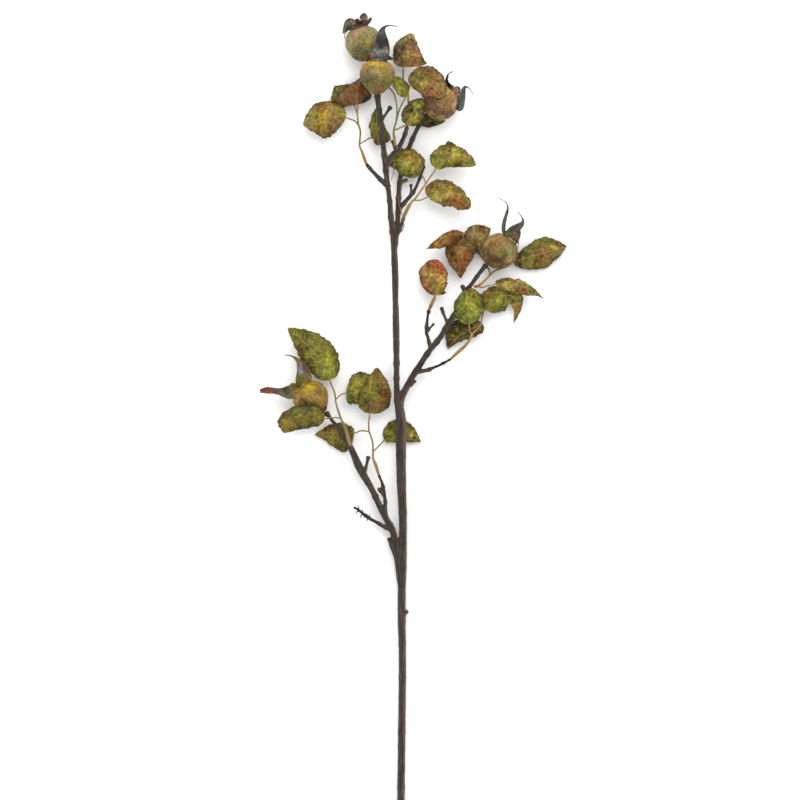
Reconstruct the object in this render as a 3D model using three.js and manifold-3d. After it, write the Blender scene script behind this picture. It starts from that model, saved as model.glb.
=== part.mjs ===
// Rose hip sprig: a cut woody rose stem lying on a surface, with five hips, their
// dried sepals, and nine compound leaves of curled, toothed leaflets.
// Units are millimetres. +Z is up and +Y runs from the cut end to the growing tip.
// The origin is on the surface, under the flat spot on which the stem rests.

import * as THREE from 'three';
import * as BufferGeometryUtils from 'three/addons/utils/BufferGeometryUtils.js';
import Module from 'manifold-3d';

const wasm = await Module();
wasm.setup();

// Driving dimensions.
const BLADE_THICKNESS = 0.7;
const BLADE_COLUMNS = 10;
const TOOTH_DEPTH = 1.1;
const TOOTH_LEAN = 0.35;
const NOTCH_SHARE = 0.16;
const LEAF_FOOT = 0.7;
const BLADE_TIP = 0.35;
const BLADE_SPREAD = 0.25;
const STEEPEST_LEAN = 0.6;
const LEAF_BLUNT = 0.52;
const LEAF_SHARP = 0.85;
const WAVES = 2.3;
const WAVE_HEIGHT = 1;
const HALF_TURN = 2;
const HIP_RADIUS = 15;
const HIP_SIDES = 16;
const CALYX_RADIUS = 5.2;
const CALYX_TAPER = 0.8;
const CALYX_HEIGHT = 1.6;
const CALYX_SIDES = 8;
const SEPAL_COLUMNS = 6;
const SEPAL_THICKNESS = 0.9;
const SEPAL_FOLD = 0.15;
const SEPAL_CURL = 0.5;
const SEPAL_BLUNT = 1.2;
const SEPAL_SHARP = 3;
const STEM_SIDES = 8;
const TWIG_SIDES = 5;
const STALK_SIDES = 5;
const GAP = 0.3;
const PRESSED_FLAT = 0.2;

const NO_LOBE = [0, 0, 1];
const UP = new THREE.Vector3(0, 0, 1);

// The wood. Each row is a point on a branch's axis and the radius there: x, y, z, radius.
const WOOD = {
  main: [
    [-1, -149, 2.9, 3.25], [-0.5, -102, 2.8, 3.15], [0.2, -51, 2.75, 3.1], [0.4, -17, 2.75, 3.1],
    [-0.3, 30, 3.03, 3.4], [0.4, 60, 4.4, 3.4], [0.8, 100, 7.6, 3.4], [-0.4, 134, 10.2, 4],
    [-0.9, 162, 12, 4.3], [-0.8, 186, 13, 4.3], [-3.2, 203, 13.5, 3.5], [-4.5, 213, 13.6, 2.6],
    [-4.6, 230, 13.8, 2.5], [-5, 263, 14.2, 2.9], [-5.5, 289, 15, 2.6], [-5.7, 306, 15.3, 2.9],
    [-6.3, 323, 15.8, 2.8], [-7.2, 340, 16.2, 2.6], [-9.2, 357, 16.6, 2.4], [-10.6, 374, 17, 2.2],
    [-12.8, 391, 17.3, 2.2], [-14.5, 407, 18, 2.5], [-16.5, 424, 19, 2.1], [-18.2, 441, 20.3, 2.3],
    [-20.2, 456, 22, 2.3], [-20.7, 461.7, 22.6, 3]
  ],
  left_branch: [
    [-0.5, 46, 3.8, 3], [-1.8, 56, 4.4, 3.2], [-3.9, 71, 5.6, 3.1], [-5.9, 84, 6.6, 2.9],
    [-8.5, 94.5, 7.4, 2.9], [-13.7, 103.5, 8.2, 2.7], [-20.1, 116.5, 9, 2.6], [-25.4, 128, 9.5, 2.6],
    [-31.3, 138, 10, 3.1], [-36.5, 147.5, 10.3, 3.3], [-42.3, 161, 10.5, 2.8], [-47.5, 170, 10.5, 2.3],
    [-53, 178.5, 10.6, 1.9], [-59.6, 187, 11, 1.6], [-62.4, 190.8, 11.6, 1.7], [-64, 192.8, 11.9, 2.1]
  ],
  right_branch: [
    [-1.8, 196, 13, 3.2], [-0.2, 206, 13.2, 3], [6.6, 220, 13.2, 2.8], [12.2, 229, 13.2, 2.7],
    [22, 244, 13.2, 2.4], [32.7, 257.5, 13.2, 2.4], [39.8, 269.5, 13.3, 2.3], [44.7, 276.5, 13.4, 2.3],
    [53.9, 295, 13.5, 2], [58.8, 302, 13.4, 1.8], [63.8, 309, 13.2, 1.7], [68.8, 315.4, 12.7, 1.8],
    [70.7, 317.7, 12.3, 2.2]
  ],
  second_stem: [
    [-6, 332, 16, 2.1], [-4.6, 346, 16, 2.3], [-3.5, 358, 14.4, 2.2], [-3.1, 374, 11.2, 2.2],
    [-1.7, 391, 8.4, 2.1], [1.7, 406, 7.6, 2], [6, 418, 8.4, 2.1], [9.8, 427.5, 10.6, 1.9],
    [14.5, 437, 13.6, 1.8], [18.6, 443.2, 16.2, 1.8], [20.2, 445, 16.9, 2.1]
  ],
  hip_a_stalk: [
    [-20, 453, 21, 1.6], [-20.4, 461, 14, 1.5], [-21.6, 467, 7.6, 1.3], [-24, 478, 6.4, 1.3],
    [-26.8, 485, 10.2, 1.3], [-27, 488.6, 12.4, 1.4], [-27.9, 491.9, 13.1, 1.8]
  ],
  side_branch: [
    [-14, 400, 17.6, 2], [-9.2, 408.5, 19, 2.1], [-4.8, 414.5, 20.5, 2.2], [-1.6, 419.6, 21.5, 2],
    [2.2, 428, 22, 1.8], [4.2, 434.8, 22, 1.7]
  ],
  side_branch_peg: [[-4.8, 414, 20.5, 1.3], [-5.6, 418.2, 23.6, 1.3]],
  side_branch_stub: [[-5.6, 414.5, 20, 1.2], [-8.2, 423.6, 20.6, 1.2]],
  right_twig: [
    [-3, 365, 13.2, 2], [3.5, 373, 14.2, 1.8], [8, 378, 15, 1.7], [11.5, 383.5, 15.8, 1.3],
    [15.7, 393.5, 16.8, 1.2], [19.2, 402, 17, 0.8]
  ],
  right_twig_bud: [[7.4, 376.5, 15, 1], [7.6, 382, 17.6, 1], [7.7, 386.4, 19, 1.3]],
  left_twig: [
    [-11.3, 383.5, 17.2, 2], [-14.5, 387, 17, 2], [-20.2, 392.7, 16, 1.8], [-27.3, 400.4, 15, 1.4],
    [-29.8, 403.7, 14.6, 1.3]
  ],
  leaf_peg: [[-4.6, 343, 16.6, 1.6], [-1.6, 349, 17.8, 1.6], [1.2, 357.8, 18.4, 1.4]],
  top_stub: [[-17.8, 440, 20.3, 1.3], [-13.5, 446.5, 21.5, 1.2], [-9.8, 452, 22, 1.5]],
  second_stub: [[-1.7, 388, 8.8, 1.5], [4.2, 391.2, 8.4, 1.2]],
  bark_nub: [[5, 214.5, 13.4, 1.3], [11.6, 220, 13.8, 0.9]],
  low_right_twig: [
    [11, 227.2, 13.2, 1.9], [22, 229.5, 13.3, 1.7], [25, 230.7, 13.3, 1.4], [32.7, 234, 13.2, 1.1],
    [41, 238.5, 13, 1]
  ],
  inner_twig: [
    [24.2, 246, 13.2, 1.6], [22.1, 256.7, 14.2, 1.4], [20.7, 261.6, 14.4, 1.5], [21.4, 272, 14.6, 1.2],
    [22.7, 279.6, 14.6, 1.1]
  ],
  inner_twig_stub: [[21, 261, 14.4, 1], [23.6, 264.8, 15.4, 0.9], [27, 268.6, 16, 1.1]],
  right_stub: [[38.8, 268.5, 13.3, 1.5], [35.4, 276.5, 14, 1.2], [33.4, 282.2, 14.6, 1.5]],
  end_stub: [[53, 293.5, 13.5, 1.2], [51.2, 301, 14.2, 1.4]],
  thorny_twig: [
    [-7, 93, 7.2, 2.2], [-15.6, 96.6, 7.4, 1.9], [-20.9, 99.8, 7.5, 1.3], [-26.8, 103, 7.6, 1.5],
    [-33.2, 107.6, 7.4, 1.2], [-37.1, 110.8, 7.2, 1.4], [-40.8, 112.9, 7, 0.5]
  ],
  low_stub: [[-5.4, 71, 5.6, 1.9], [-8, 77, 6.2, 1.3], [-11.3, 86.4, 7, 1.4]],
  left_stub: [[-32.5, 141, 10, 1.8], [-29.8, 150, 11, 1.3], [-28.6, 155.6, 11.6, 1.7]],
  left_inner_twig: [
    [-14, 105, 8.2, 2], [-14.1, 112, 8.9, 1.6], [-14.4, 120, 9.3, 1.4], [-16.3, 131.5, 9.8, 1.3],
    [-19.4, 139.8, 10, 1.1]
  ],
  left_inner_stub: [[-14.8, 120.5, 9.4, 1], [-19.8, 128.8, 9.9, 1.1]],
  left_leaf_peg: [[-43, 161.5, 11.4, 1.7], [-43.5, 163.4, 14.2, 1.5], [-43.75, 164.7, 14.9, 1.4]],
  stem_knob: [[2.6, 23.5, 3.4, 2], [5, 24.5, 3.6, 1.1]]
};

// Thorns on the thorny twig: foot, point, and the radius at the foot.
const THORNS = [
  [[-27, 103, 7.6], [-27.8, 107, 8.4], 1.1], [[-28.5, 104.2, 7.6], [-30, 101, 6.6], 1],
  [[-33.6, 107.8, 7.5], [-35.6, 103.8, 7.4], 1], [[-33, 107.4, 7.5], [-33.4, 111.4, 8], 0.9],
  [[-37, 110.6, 7.2], [-39.4, 107.4, 8], 1], [[-37, 110.8, 7.2], [-36.6, 115.2, 7.4], 0.9]
];
const THORN_POINT = 0.25;
const THORN_SIDES = 4;

// The hips: centre, and the direction from the stalk to the calyx. One that rests on
// the surface is pressed to it, on a low point of its own.
const HIPS = {
  a: { centre: [-32.5, 506.3, 15], axis: [-0.3, 0.93, 0.1], rests: true },
  b: { centre: [-21, 477.5, 24.4], axis: [0.02, 0.99, 0.1], rests: false },
  c: { centre: [32.5, 456, 17.2], axis: [0.74, 0.66, 0.05], rests: false },
  d: { centre: [82.6, 329.8, 15], axis: [0.66, 0.72, 0.18], rests: true },
  e: { centre: [-76, 204.6, 15], axis: [-0.72, 0.66, 0.18], rests: true }
};

// A hip's outline from the stalk to the calyx: radius and height, for a radius of 1.
const HIP_OUTLINE = [
  [0, -0.95], [0.2, -0.99], [0.55, -0.86], [0.85, -0.55], [0.99, -0.12], [0.98, 0.3], [0.82, 0.66],
  [0.55, 0.88], [0.34, 0.95], [0, 0.96]
];

// The sepals of each hip: a Bezier along the middle, the way the blade faces, and the
// half width at the foot and where it is widest.
const SEPALS = {
  a: [
    {
      line: [[-39.5, 520, 17], [-42.5, 527, 18], [-47, 525, 18.5], [-50, 514.5, 18]],
      face: [-0.3, 0.4, 1], foot: 2.6, width: 2.7, peak: 0.5, lobe: [0.86, 0.9, 0.2]
    },
    {
      line: [[-36, 521, 17], [-27.5, 529, 18], [-32.5, 535, 18.5], [-35.3, 526.5, 19]],
      face: [0, -0.3, 1], foot: 2.4, width: 1.5, lobe: [0.82, 0.9, 0.2]
    },
    {
      line: [[-34.5, 521, 16.5], [-30, 522.5, 16.5], [-27, 525, 17], [-26.8, 528, 18.5]],
      face: [0.3, 0.3, 1], foot: 2, width: 1.6, lobe: [0.86, 1.2, 0.2]
    },
    {
      line: [[-38, 520.5, 17], [-36.5, 526.5, 17], [-40, 527.5, 18], [-40.5, 522.5, 20]],
      face: [0, 0.4, 1], foot: 2, width: 1.6
    },
    {
      line: [[-39.5, 519.5, 14.5], [-46, 521, 13], [-49, 517, 12], [-48.5, 510.5, 12]],
      face: [-0.3, 0.2, 1], foot: 2, width: 1.5
    }
  ],
  b: [
    {
      line: [[-19.5, 492.5, 27], [-13, 504, 36], [-25, 525, 34], [-4.3, 519.8, 29.5]],
      face: [0.1, -0.1, 1], foot: 6.4, width: 3.6, peak: 0.3
    },
    {
      line: [[-16.5, 492.5, 26], [-13, 494.5, 26], [-9, 492.5, 25], [-3, 492.4, 24.6]],
      face: [0, 0.2, 1], foot: 2.2, width: 1.6
    },
    {
      line: [[-23, 493, 27], [-26, 496.5, 28.5], [-28, 497.5, 29.5], [-28.5, 495, 29]],
      face: [-0.4, 0.5, 0.6], foot: 2.2, width: 1.4
    },
    {
      line: [[-19.5, 493, 23], [-15, 497, 17], [-16, 494, 11], [-18, 489, 8.6]],
      face: [0, 0.8, -0.3], foot: 2.4, width: 2
    },
    {
      line: [[-18, 493, 23], [-13, 493, 17], [-12, 487, 11], [-14, 482, 8]],
      face: [0.7, 0.4, -0.3], foot: 2.2, width: 1.8
    }
  ],
  c: [
    {
      line: [[43.8, 463.4, 19.4], [54, 426, 27], [46, 488, 26], [60, 463, 21]],
      face: [0.2, 0.1, 1], foot: 2.6, width: 2.2, peak: 0.5
    },
    {
      line: [[42, 468.5, 19], [37, 472, 22], [36, 481, 22], [43.5, 482, 21]],
      face: [-0.6, 0.1, 0.8], foot: 2.2, width: 1
    },
    {
      line: [[45, 465, 18], [49, 470, 18], [49, 466, 14], [48.4, 461, 12]],
      face: [0.6, 0.5, 0.6], foot: 2.4, width: 1.6
    },
    {
      line: [[44, 465, 15], [50, 463, 10], [47, 457, 4.6], [42, 452, 3]],
      face: [0.8, 0, -0.4], foot: 2, width: 1.8
    },
    {
      line: [[43, 466, 15], [46, 469, 9], [41, 465, 4.6], [36, 462, 3]],
      face: [0.3, 0.7, -0.4], foot: 2, width: 1.8
    }
  ],
  d: [
    {
      line: [[91, 341, 19], [76, 352, 25], [102, 369, 26], [81, 375, 22]],
      face: [-0.3, 0, 1], foot: 1.7, width: 1.1, peak: 0.4
    },
    {
      line: [[90, 342.5, 20], [91, 351.5, 27], [111, 350, 27], [98, 363.2, 22]],
      face: [0, -0.3, 1], foot: 4, width: 2.2, peak: 0.4
    },
    {
      line: [[93, 341.5, 20], [98, 350, 23], [99.5, 341, 19], [98, 332, 14]],
      face: [0.7, 0.2, 0.7], foot: 3.4, width: 3.2
    },
    {
      line: [[93.5, 340.5, 16], [99, 341, 11], [97, 337, 5.6], [93, 333, 3]],
      face: [0.7, 0.3, -0.4], foot: 2, width: 1.6
    },
    {
      line: [[92.5, 341.5, 16], [92, 347, 10], [88, 345, 4.6], [84, 341, 2.4]],
      face: [0, 0.8, -0.4], foot: 2, width: 1.8
    }
  ],
  e: [
    {
      line: [[-87, 213.5, 17], [-98, 206, 17], [-106, 214.5, 16], [-120.5, 211.5, 14]],
      face: [0, 0.1, 1], foot: 5.4, width: 3.4, peak: 0.24, lobe: [0.84, 2.3, 0.22]
    },
    {
      line: [[-85.5, 215, 18], [-80, 224, 22], [-85, 243, 22], [-99.5, 242, 19]],
      face: [0.1, -0.1, 1], foot: 5, width: 4.6, peak: 0.3
    },
    {
      line: [[-88, 213, 15], [-93, 217, 14], [-96, 218, 11], [-96, 214, 8]],
      face: [-0.4, 0.5, 0.7], foot: 2, width: 1.6
    },
    {
      line: [[-87.5, 213, 14], [-93, 212, 9], [-90, 207, 4.6], [-85.5, 203, 3]],
      face: [-0.8, 0, -0.4], foot: 2, width: 1.8
    },
    {
      line: [[-86.5, 214.5, 14], [-86, 220, 9], [-82, 218, 4.6], [-78, 213.5, 3]],
      face: [0, 0.8, -0.4], foot: 2, width: 1.8
    }
  ]
};

// The leaf stalks. Each has one or more lines that meet: x, y, z, radius.
const STALKS = {
  top_left: [
    [
      [-30.3, 404.5, 14.5, 1.3], [-32, 409, 14.4, 1.5], [-33.8, 414, 14.4, 1.2], [-36, 420, 14.4, 0.9],
      [-35.4, 428, 14.2, 0.8], [-35.5, 433, 14, 0.8], [-37, 438, 13.8, 0.8], [-37.8, 446, 12.6, 0.7],
      [-37.5, 453.4, 11.4, 0.7]
    ],
    [[-37, 437, 13.8, 0.7], [-40, 440.6, 13.8, 0.65], [-46.4, 443, 13.6, 0.6]],
    [[-37.7, 445, 12.8, 0.6], [-39, 450, 9.6, 0.6], [-40.4, 454.8, 7.6, 0.6]],
    [[-35.8, 421, 14.4, 0.6], [-30.5, 424.4, 11.4, 0.6], [-25.5, 426.6, 7.6, 0.6], [-21, 421.6, 7.8, 0.6]]
  ],
  top_middle: [
    [
      [-5.8, 419.1, 24.1, 1.3], [-6.4, 425, 24.6, 1.3], [-7.1, 431, 24.6, 0.9], [-6, 436, 24.3, 0.8],
      [-4.3, 442, 23.6, 0.7], [-2.6, 449, 22, 0.7], [2.6, 459.8, 19, 0.6]
    ],
    [[-7, 432, 24.5, 0.6], [-2, 434.2, 24.7, 0.6], [2.4, 436.4, 25, 0.6]],
    [[-5.2, 439, 23.9, 0.6], [-4.3, 447, 22.6, 0.6], [-4.7, 455, 20, 0.6], [-7, 464, 16, 0.6],
      [-11.5, 469.5, 11, 0.7], [-14, 473, 8, 0.8]]
  ],
  top_cluster: [
    [
      [4.35, 435.4, 21.9, 1.3], [4.9, 441, 21, 1.1], [5.4, 448, 20.2, 1], [5.5, 455.6, 20, 1],
      [4.8, 464, 20.5, 0.9], [3, 471, 20.8, 0.8], [1, 476, 20.5, 0.7], [1, 484.8, 19.6, 0.7]
    ],
    [[4.9, 462.5, 20.5, 0.6], [6.6, 469.2, 22.8, 0.6]],
    [[4.8, 439, 21, 0.7], [8.5, 439, 15, 0.6], [11.5, 439.5, 9, 0.6], [13.4, 439.9, 7.2, 0.6]]
  ],
  top_right: [
    [
      [1.4, 358.3, 18.4, 1.4], [4.4, 365.8, 18.6, 1.7], [8, 371.6, 17.6, 1.1], [11.5, 375, 17.2, 0.9],
      [17, 382.8, 17, 0.8], [20, 387, 17, 0.8], [24, 393, 17, 0.7], [28.1, 399, 17, 0.7]
    ],
    [[9.8, 373.2, 17.4, 0.7], [15.7, 373.4, 17, 0.6], [20.6, 375.6, 17, 0.6]],
    [[20, 387, 17, 0.7], [19, 391, 15, 0.6], [16.7, 394.6, 12.8, 0.6]]
  ],
  right_lower: [
    [
      [41.6, 239, 13, 1.3], [49, 246, 13, 1.6], [54, 250.5, 13, 1.2], [58.8, 258, 13.2, 1],
      [57.4, 263, 14, 0.7], [56.9, 267.6, 14.7, 0.7]
    ],
    [[58.5, 257, 13.2, 0.9], [60.4, 260.8, 13, 0.8], [65.9, 266.6, 12, 0.7], [67.6, 272, 11.5, 0.7],
      [69.4, 280, 11, 0.7]],
    [[64.8, 265.6, 12, 0.6], [67.4, 268.2, 9.6, 0.6]]
  ],
  right_inner: [
    [[22.9, 280.1, 14.6, 1.2], [25.2, 285.5, 14.6, 1.6], [27.8, 291.2, 14.7, 1.3]]
  ],
  right_end: [
    [
      [61.3, 300.3, 13.3, 1.1], [64.8, 300.8, 13, 1.2], [70.8, 306, 12, 0.9], [75.1, 310.5, 9, 0.8],
      [79.5, 314, 5.4, 0.8], [86, 316.4, 4, 0.8], [93, 320.6, 5.8, 0.7]
    ],
    [[74.6, 310, 9.4, 0.8], [74, 314, 6.6, 0.7], [71, 320.5, 4.4, 0.7], [65.5, 328, 2.8, 0.7],
      [60, 335, 2.8, 0.7], [54.6, 341.4, 4, 0.7], [51.2, 345.3, 7.4, 0.7], [50.2, 346, 9.2, 0.7]],
    [[71, 320.2, 4.5, 0.6], [69.2, 323, 4.8, 0.6], [68, 325.4, 5.8, 0.6]],
    [[50.6, 345.7, 8.4, 0.6], [52.8, 345.6, 11, 0.6], [52.4, 344.6, 13.6, 0.6]],
    [[64.4, 300.8, 13.1, 0.8], [67.5, 299.4, 13.6, 0.7], [73, 300.8, 15, 0.6], [78.4, 302, 16, 0.6]]
  ],
  left_end: [
    [
      [-43.95, 165.5, 15.1, 1.4], [-46, 173, 15.6, 1.7], [-48.3, 181, 15.6, 1.3], [-51.2, 187, 15.3, 1],
      [-54, 194.5, 15, 0.9], [-56, 201.7, 15, 0.8], [-57, 209.5, 15, 0.8], [-58.9, 214.5, 15, 0.7],
      [-61, 219.8, 15, 0.7]
    ],
    [[-52, 188.6, 15.3, 0.7], [-58, 189, 17, 0.6], [-64.6, 188.2, 18.8, 0.6]],
    [[-56.3, 204, 15, 0.6], [-52.1, 208.4, 14.5, 0.6], [-48.4, 209.6, 14.1, 0.6]]
  ],
  left_inner: [
    [
      [-19.65, 140.5, 10, 1.2], [-22.2, 148.6, 10.2, 1.5], [-24.5, 154.5, 10.2, 1], [-24.6, 160, 10.2, 0.9],
      [-24.9, 167.5, 10.4, 0.8], [-26.5, 173.6, 10.8, 0.8], [-28.1, 178, 11.2, 0.8],
      [-28.2, 185, 12, 0.7], [-27.5, 191.2, 12.8, 0.7]
    ],
    [[-27.8, 177, 11.1, 0.7], [-33.8, 178, 9.8, 0.6], [-39.3, 176.2, 7.2, 0.6]],
    [[-24.6, 160, 10.2, 0.7], [-20, 164.6, 7.6, 0.6], [-16, 169, 5.4, 0.6]]
  ]
};

// The leaflets: a Bezier along the midrib, the way the upper face looks, and each half's
// width, where along the midrib it is widest, how it folds and curls (radians), and
// optionally how blunt its ends are. The left half is on the left going from foot to tip.
const LEAFLETS = {
  top_left_1: {
    midrib: [[-47.6, 443.6, 13.6], [-57, 446, 17], [-71, 443, 19], [-83.5, 437, 14]], face: [0, 0, 1],
    left: [18.5, 0.55, -0.1, -0.5], right: [15.5, 0.5, -0.1, -0.6], colour: 0x7d6c38
  },
  top_left_2: {
    midrib: [[-37.5, 454.8, 11.2], [-39, 462, 14], [-38, 471, 14], [-33.5, 479, 11.6]], face: [0.05, 0.1, -1],
    left: [12, 0.3, 0, 0.1], right: [20, 0.12, 0.05, 0.35], colour: 0x73523f,
    tip: 1.3, wave: 0.6
  },
  top_left_3: {
    midrib: [[-41.2, 456, 7], [-46, 461, 7.4], [-52, 464, 7.4], [-57.5, 471, 6]], face: [-0.1, 0.1, 1],
    left: [13, 0.55, -0.1, -0.3], right: [11, 0.5, 0.1, 0], colour: 0x565227,
    tip: 1.2, wave: 0.4
  },
  top_left_4: {
    midrib: [[-20, 420.4, 8.7], [-22, 430, 11], [-22, 441, 11], [-21.5, 452, 8]], face: [0.2, 0, 1],
    left: [7, 0.5, 0.3, 0.3], right: [12, 0.15, -0.1, -0.2], colour: 0x8f8a3c,
    tip: 1, wave: 0.5
  },
  top_middle_1: {
    midrib: [[3.3, 461, 18.6], [1, 467, 18], [-3, 473, 16], [-6.5, 478.4, 13.6]], face: [0, 0, 1],
    left: [6.5, 0.45, 0.1, 0.3], right: [6, 0.45, 0.1, 0.3], colour: 0x8c9a48,
    wave: 0.4
  },
  top_middle_2: {
    midrib: [[3.6, 437.3, 25], [7, 444, 25.5], [13, 452, 27], [18.5, 459, 26]], face: [0, 0, 1],
    left: [10.5, 0.45, 0.25, 0.6], right: [10.5, 0.4, 0.2, 0.5], colour: 0x8a8a2c,
    wave: 0.6, phase: 1
  },
  top_cluster_1: {
    midrib: [[1.2, 486.1, 19.4], [1, 495, 22], [4, 505, 22], [9, 514.5, 18]], face: [-0.1, 0, 1],
    left: [13.5, 0.42, -0.35, -0.4], right: [20, 0.13, -0.05, -0.6], colour: 0x6f604a,
    tip: 0.7
  },
  top_cluster_2: {
    midrib: [[7, 470.5, 23.2], [13, 475, 33], [27, 474, 38.5], [33.5, 459.5, 34.5]], face: [0, 0, 1],
    left: [15.5, 0.5, -0.1, -0.5], right: [14, 0.48, -0.1, -0.6], right_lobe: [0.2, 2.4, 0.14],
    tip: 0.6, wave: 0.7, colour: 0x75693b
  },
  top_cluster_3: {
    midrib: [[14.6, 440, 6.6], [21, 441, 5], [29, 441, 4], [36.5, 441, 3]], face: [0, 0, 1],
    left: [7, 0.45, 0, 0], right: [5, 0.4, 0, 0.2], colour: 0x3b3619,
    wave: 0.4
  },
  top_right_1: {
    midrib: [[28.9, 400.2, 17], [36, 411, 22], [50, 411, 23], [62.5, 402.6, 17]], face: [0, 0, 1],
    left: [13.6, 0.34, -0.1, -0.5], right: [10, 0.5, -0.2, -0.9], colour: 0x7b7439,
    left_lobe: [0.44, 3.2, 0.06], tip: 0.8
  },
  top_right_2: {
    midrib: [[21.9, 376.2, 17], [31, 383, 21], [48, 376, 22], [57.5, 366.5, 16]], face: [0, 0, 1],
    left: [13.4, 0.38, -0.1, -0.6], right: [10.6, 0.42, -0.1, -0.6], colour: 0x84693a,
    left_lobe: [0.93, 1.5, 0.08], right_lobe: [0.88, 3, 0.1], tip: 0.8, phase: 2
  },
  top_right_3: {
    midrib: [[15.9, 395.6, 11.8], [8, 404, 18], [-2, 411, 17.4], [-13, 405, 9]], face: [0, 0, 1],
    left: [13, 0.45, -0.1, -0.3], right: [13, 0.4, -0.05, -0.35], colour: 0x7c7238,
    tip: 0.6, wave: 0.8, phase: 1
  },
  right_lower_1: {
    midrib: [[57, 268.7, 15.6], [56, 279, 22.8], [58, 290, 22.8], [60, 298.5, 20.6]], face: [0, 0, 1],
    left: [14, 0.4, 0, -0.5], right: [14.5, 0.4, -0.1, -0.7], colour: 0x7b8733,
    tip: 0.6, wave: 0.7
  },
  right_lower_2: {
    midrib: [[69.8, 281.3, 11], [80, 296, 15], [107, 301, 13], [94.8, 269.5, 6]], face: [0, 0, 1],
    left: [12, 0.28, -0.1, -0.7], right: [13, 0.26, -0.1, -0.6], colour: 0x6f6a2c,
    tip: 1, phase: 3
  },
  right_lower_3: {
    midrib: [[67.8, 269.2, 7.4], [60, 264, 7.2], [48, 262, 6.5], [39, 247.5, 4]], face: [0, 0, 1],
    left: [8, 0.3, 0.2, 0.3], right: [13, 0.6, -0.1, -0.3], colour: 0x48431a,
    wave: 0.6, phase: 1.5
  },
  right_inner_1: {
    midrib: [[28.3, 292.5, 14.8], [28, 302, 19], [27, 313, 20], [28.5, 323, 16]], face: [0, 0, 1],
    left: [15, 0.55, -0.1, -0.7], right: [13, 0.5, -0.1, -0.7], colour: 0x9a7c48,
    right_lobe: [0.02, 6, 0.06], tip: 0.55, wave: 0.8
  },
  right_end_1: {
    midrib: [[94.2, 321.4, 5.8], [105.5, 325, 8.2], [122, 329, 12], [140, 334.5, 6]], face: [0, 0, 1],
    left: [14, 0.64, -0.1, -0.5], right: [13.5, 0.52, -0.1, -0.7], colour: 0x797437,
    tip: 1
  },
  right_end_2: {
    midrib: [[67.2, 327.5, 6.8], [65, 334, 8.4], [64.4, 344, 9.4], [64.4, 352.8, 8]], face: [0, 0, 1],
    left: [12.2, 0.66, 0, -0.1], right: [12.4, 0.82, -0.3, -0.5], colour: 0x86753f,
    tip: 0.5, wave: 0.4
  },
  right_end_3: {
    midrib: [[50, 344.5, 9.8], [46, 341, 18.5], [47, 325, 18], [50.3, 307.3, 8]], face: [0, 0, 1],
    left: [17, 0.42, 0, -0.3], right: [12, 0.5, -0.1, -0.6], colour: 0x6d4a1e,
    tip: 1.1, wave: 0.6
  },
  right_end_4: {
    midrib: [[51.8, 343.8, 14.4], [43, 347.5, 28], [33, 340, 24], [20.3, 332, 15]], face: [0, 0, 1],
    left: [9, 0.46, 0, -0.5], right: [5, 0.35, -0.4, -0.7], colour: 0x7c5c33,
    tip: 1.1, wave: 0.8, phase: 1
  },
  right_end_5: {
    midrib: [[79.4, 302.1, 16.2], [93, 304.4, 20], [111, 299.6, 21], [120, 289.5, 14]], face: [0, 0.1, 1],
    left: [7, 0.3, -0.3, -0.8], right: [10, 0.4, -0.3, -0.8], colour: 0x7a6533,
    tip: 1.8, wave: 0.6
  },
  left_end_1: {
    midrib: [[-61.6, 221, 15], [-66, 237, 20], [-80, 252, 22], [-97, 265, 15]], face: [0, 0, 1],
    left: [15, 0.42, -0.1, -0.6], right: [18, 0.4, -0.1, -0.6], colour: 0x77743a,
    tip: 0.95, wave: 1.4
  },
  left_end_2: {
    midrib: [[-65.8, 188, 19], [-79, 190.6, 21.8], [-91, 186, 18], [-101.5, 177, 10]], face: [0, -0.2, 1],
    left: [9.5, 0.4, -0.15, -0.4], right: [20, 0.5, 0.92, -0.5], colour: 0x777031,
    tip: 0.6, wave: 0.6
  },
  left_end_3: {
    midrib: [[-47.3, 209.4, 13.6], [-39, 209.6, 13], [-29, 214, 10], [-18, 214, 7]], face: [0, 0, 1],
    left: [17.5, 0.55, -0.1, -0.5], right: [11, 0.26, -0.2, -0.5], colour: 0x767a33,
    tip: 0.7
  },
  left_inner_1: {
    midrib: [[-27.3, 192.7, 13], [-26, 204, 17.5], [-22, 217, 19], [-21.5, 231.5, 14]], face: [0, 0, 1],
    left: [12, 0.34, -0.1, -0.4], right: [17, 0.36, -0.1, -0.5], colour: 0x7b5a36,
    tip: 0.8, wave: 0.7
  },
  left_inner_2: {
    midrib: [[-40.8, 175.6, 6.4], [-50, 177, 6], [-62, 177, 5.5], [-74, 174.5, 3.5]], face: [0, 0, 1],
    left: [16.5, 0.28, 0, -0.1], right: [8, 0.4, 0, 0], colour: 0x6e6832,
    tip: 1, wave: 0.5
  },
  left_inner_3: {
    midrib: [[-15, 170.2, 4.9], [-8, 173, 4.6], [5, 173, 4.6], [15.8, 168, 3]], face: [0, 0, 1],
    left: [15.5, 0.46, 0, -0.1], right: [4, 0.4, 0, 0.2], colour: 0x6f6c33,
    tip: 1, wave: 0.4
  }
};

const point = (row) => new THREE.Vector3(row[0], row[1], row[2]);

function indexedGeometry(points, triangles) {
  const geometry = new THREE.BufferGeometry();
  geometry.setAttribute('position', new THREE.Float32BufferAttribute(points.flatMap((p) => p.toArray()), 3));
  geometry.setIndex(triangles.flat());
  return geometry;
}

function toSolid(geometry) {
  const bare = geometry.clone();
  bare.deleteAttribute('normal');
  bare.deleteAttribute('uv');
  const merged = BufferGeometryUtils.mergeVertices(bare);
  return new wasm.Manifold(new wasm.Mesh({
    numProp: 3,
    vertProperties: new Float32Array(merged.attributes.position.array),
    triVerts: new Uint32Array(merged.index.array)
  }));
}

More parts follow.
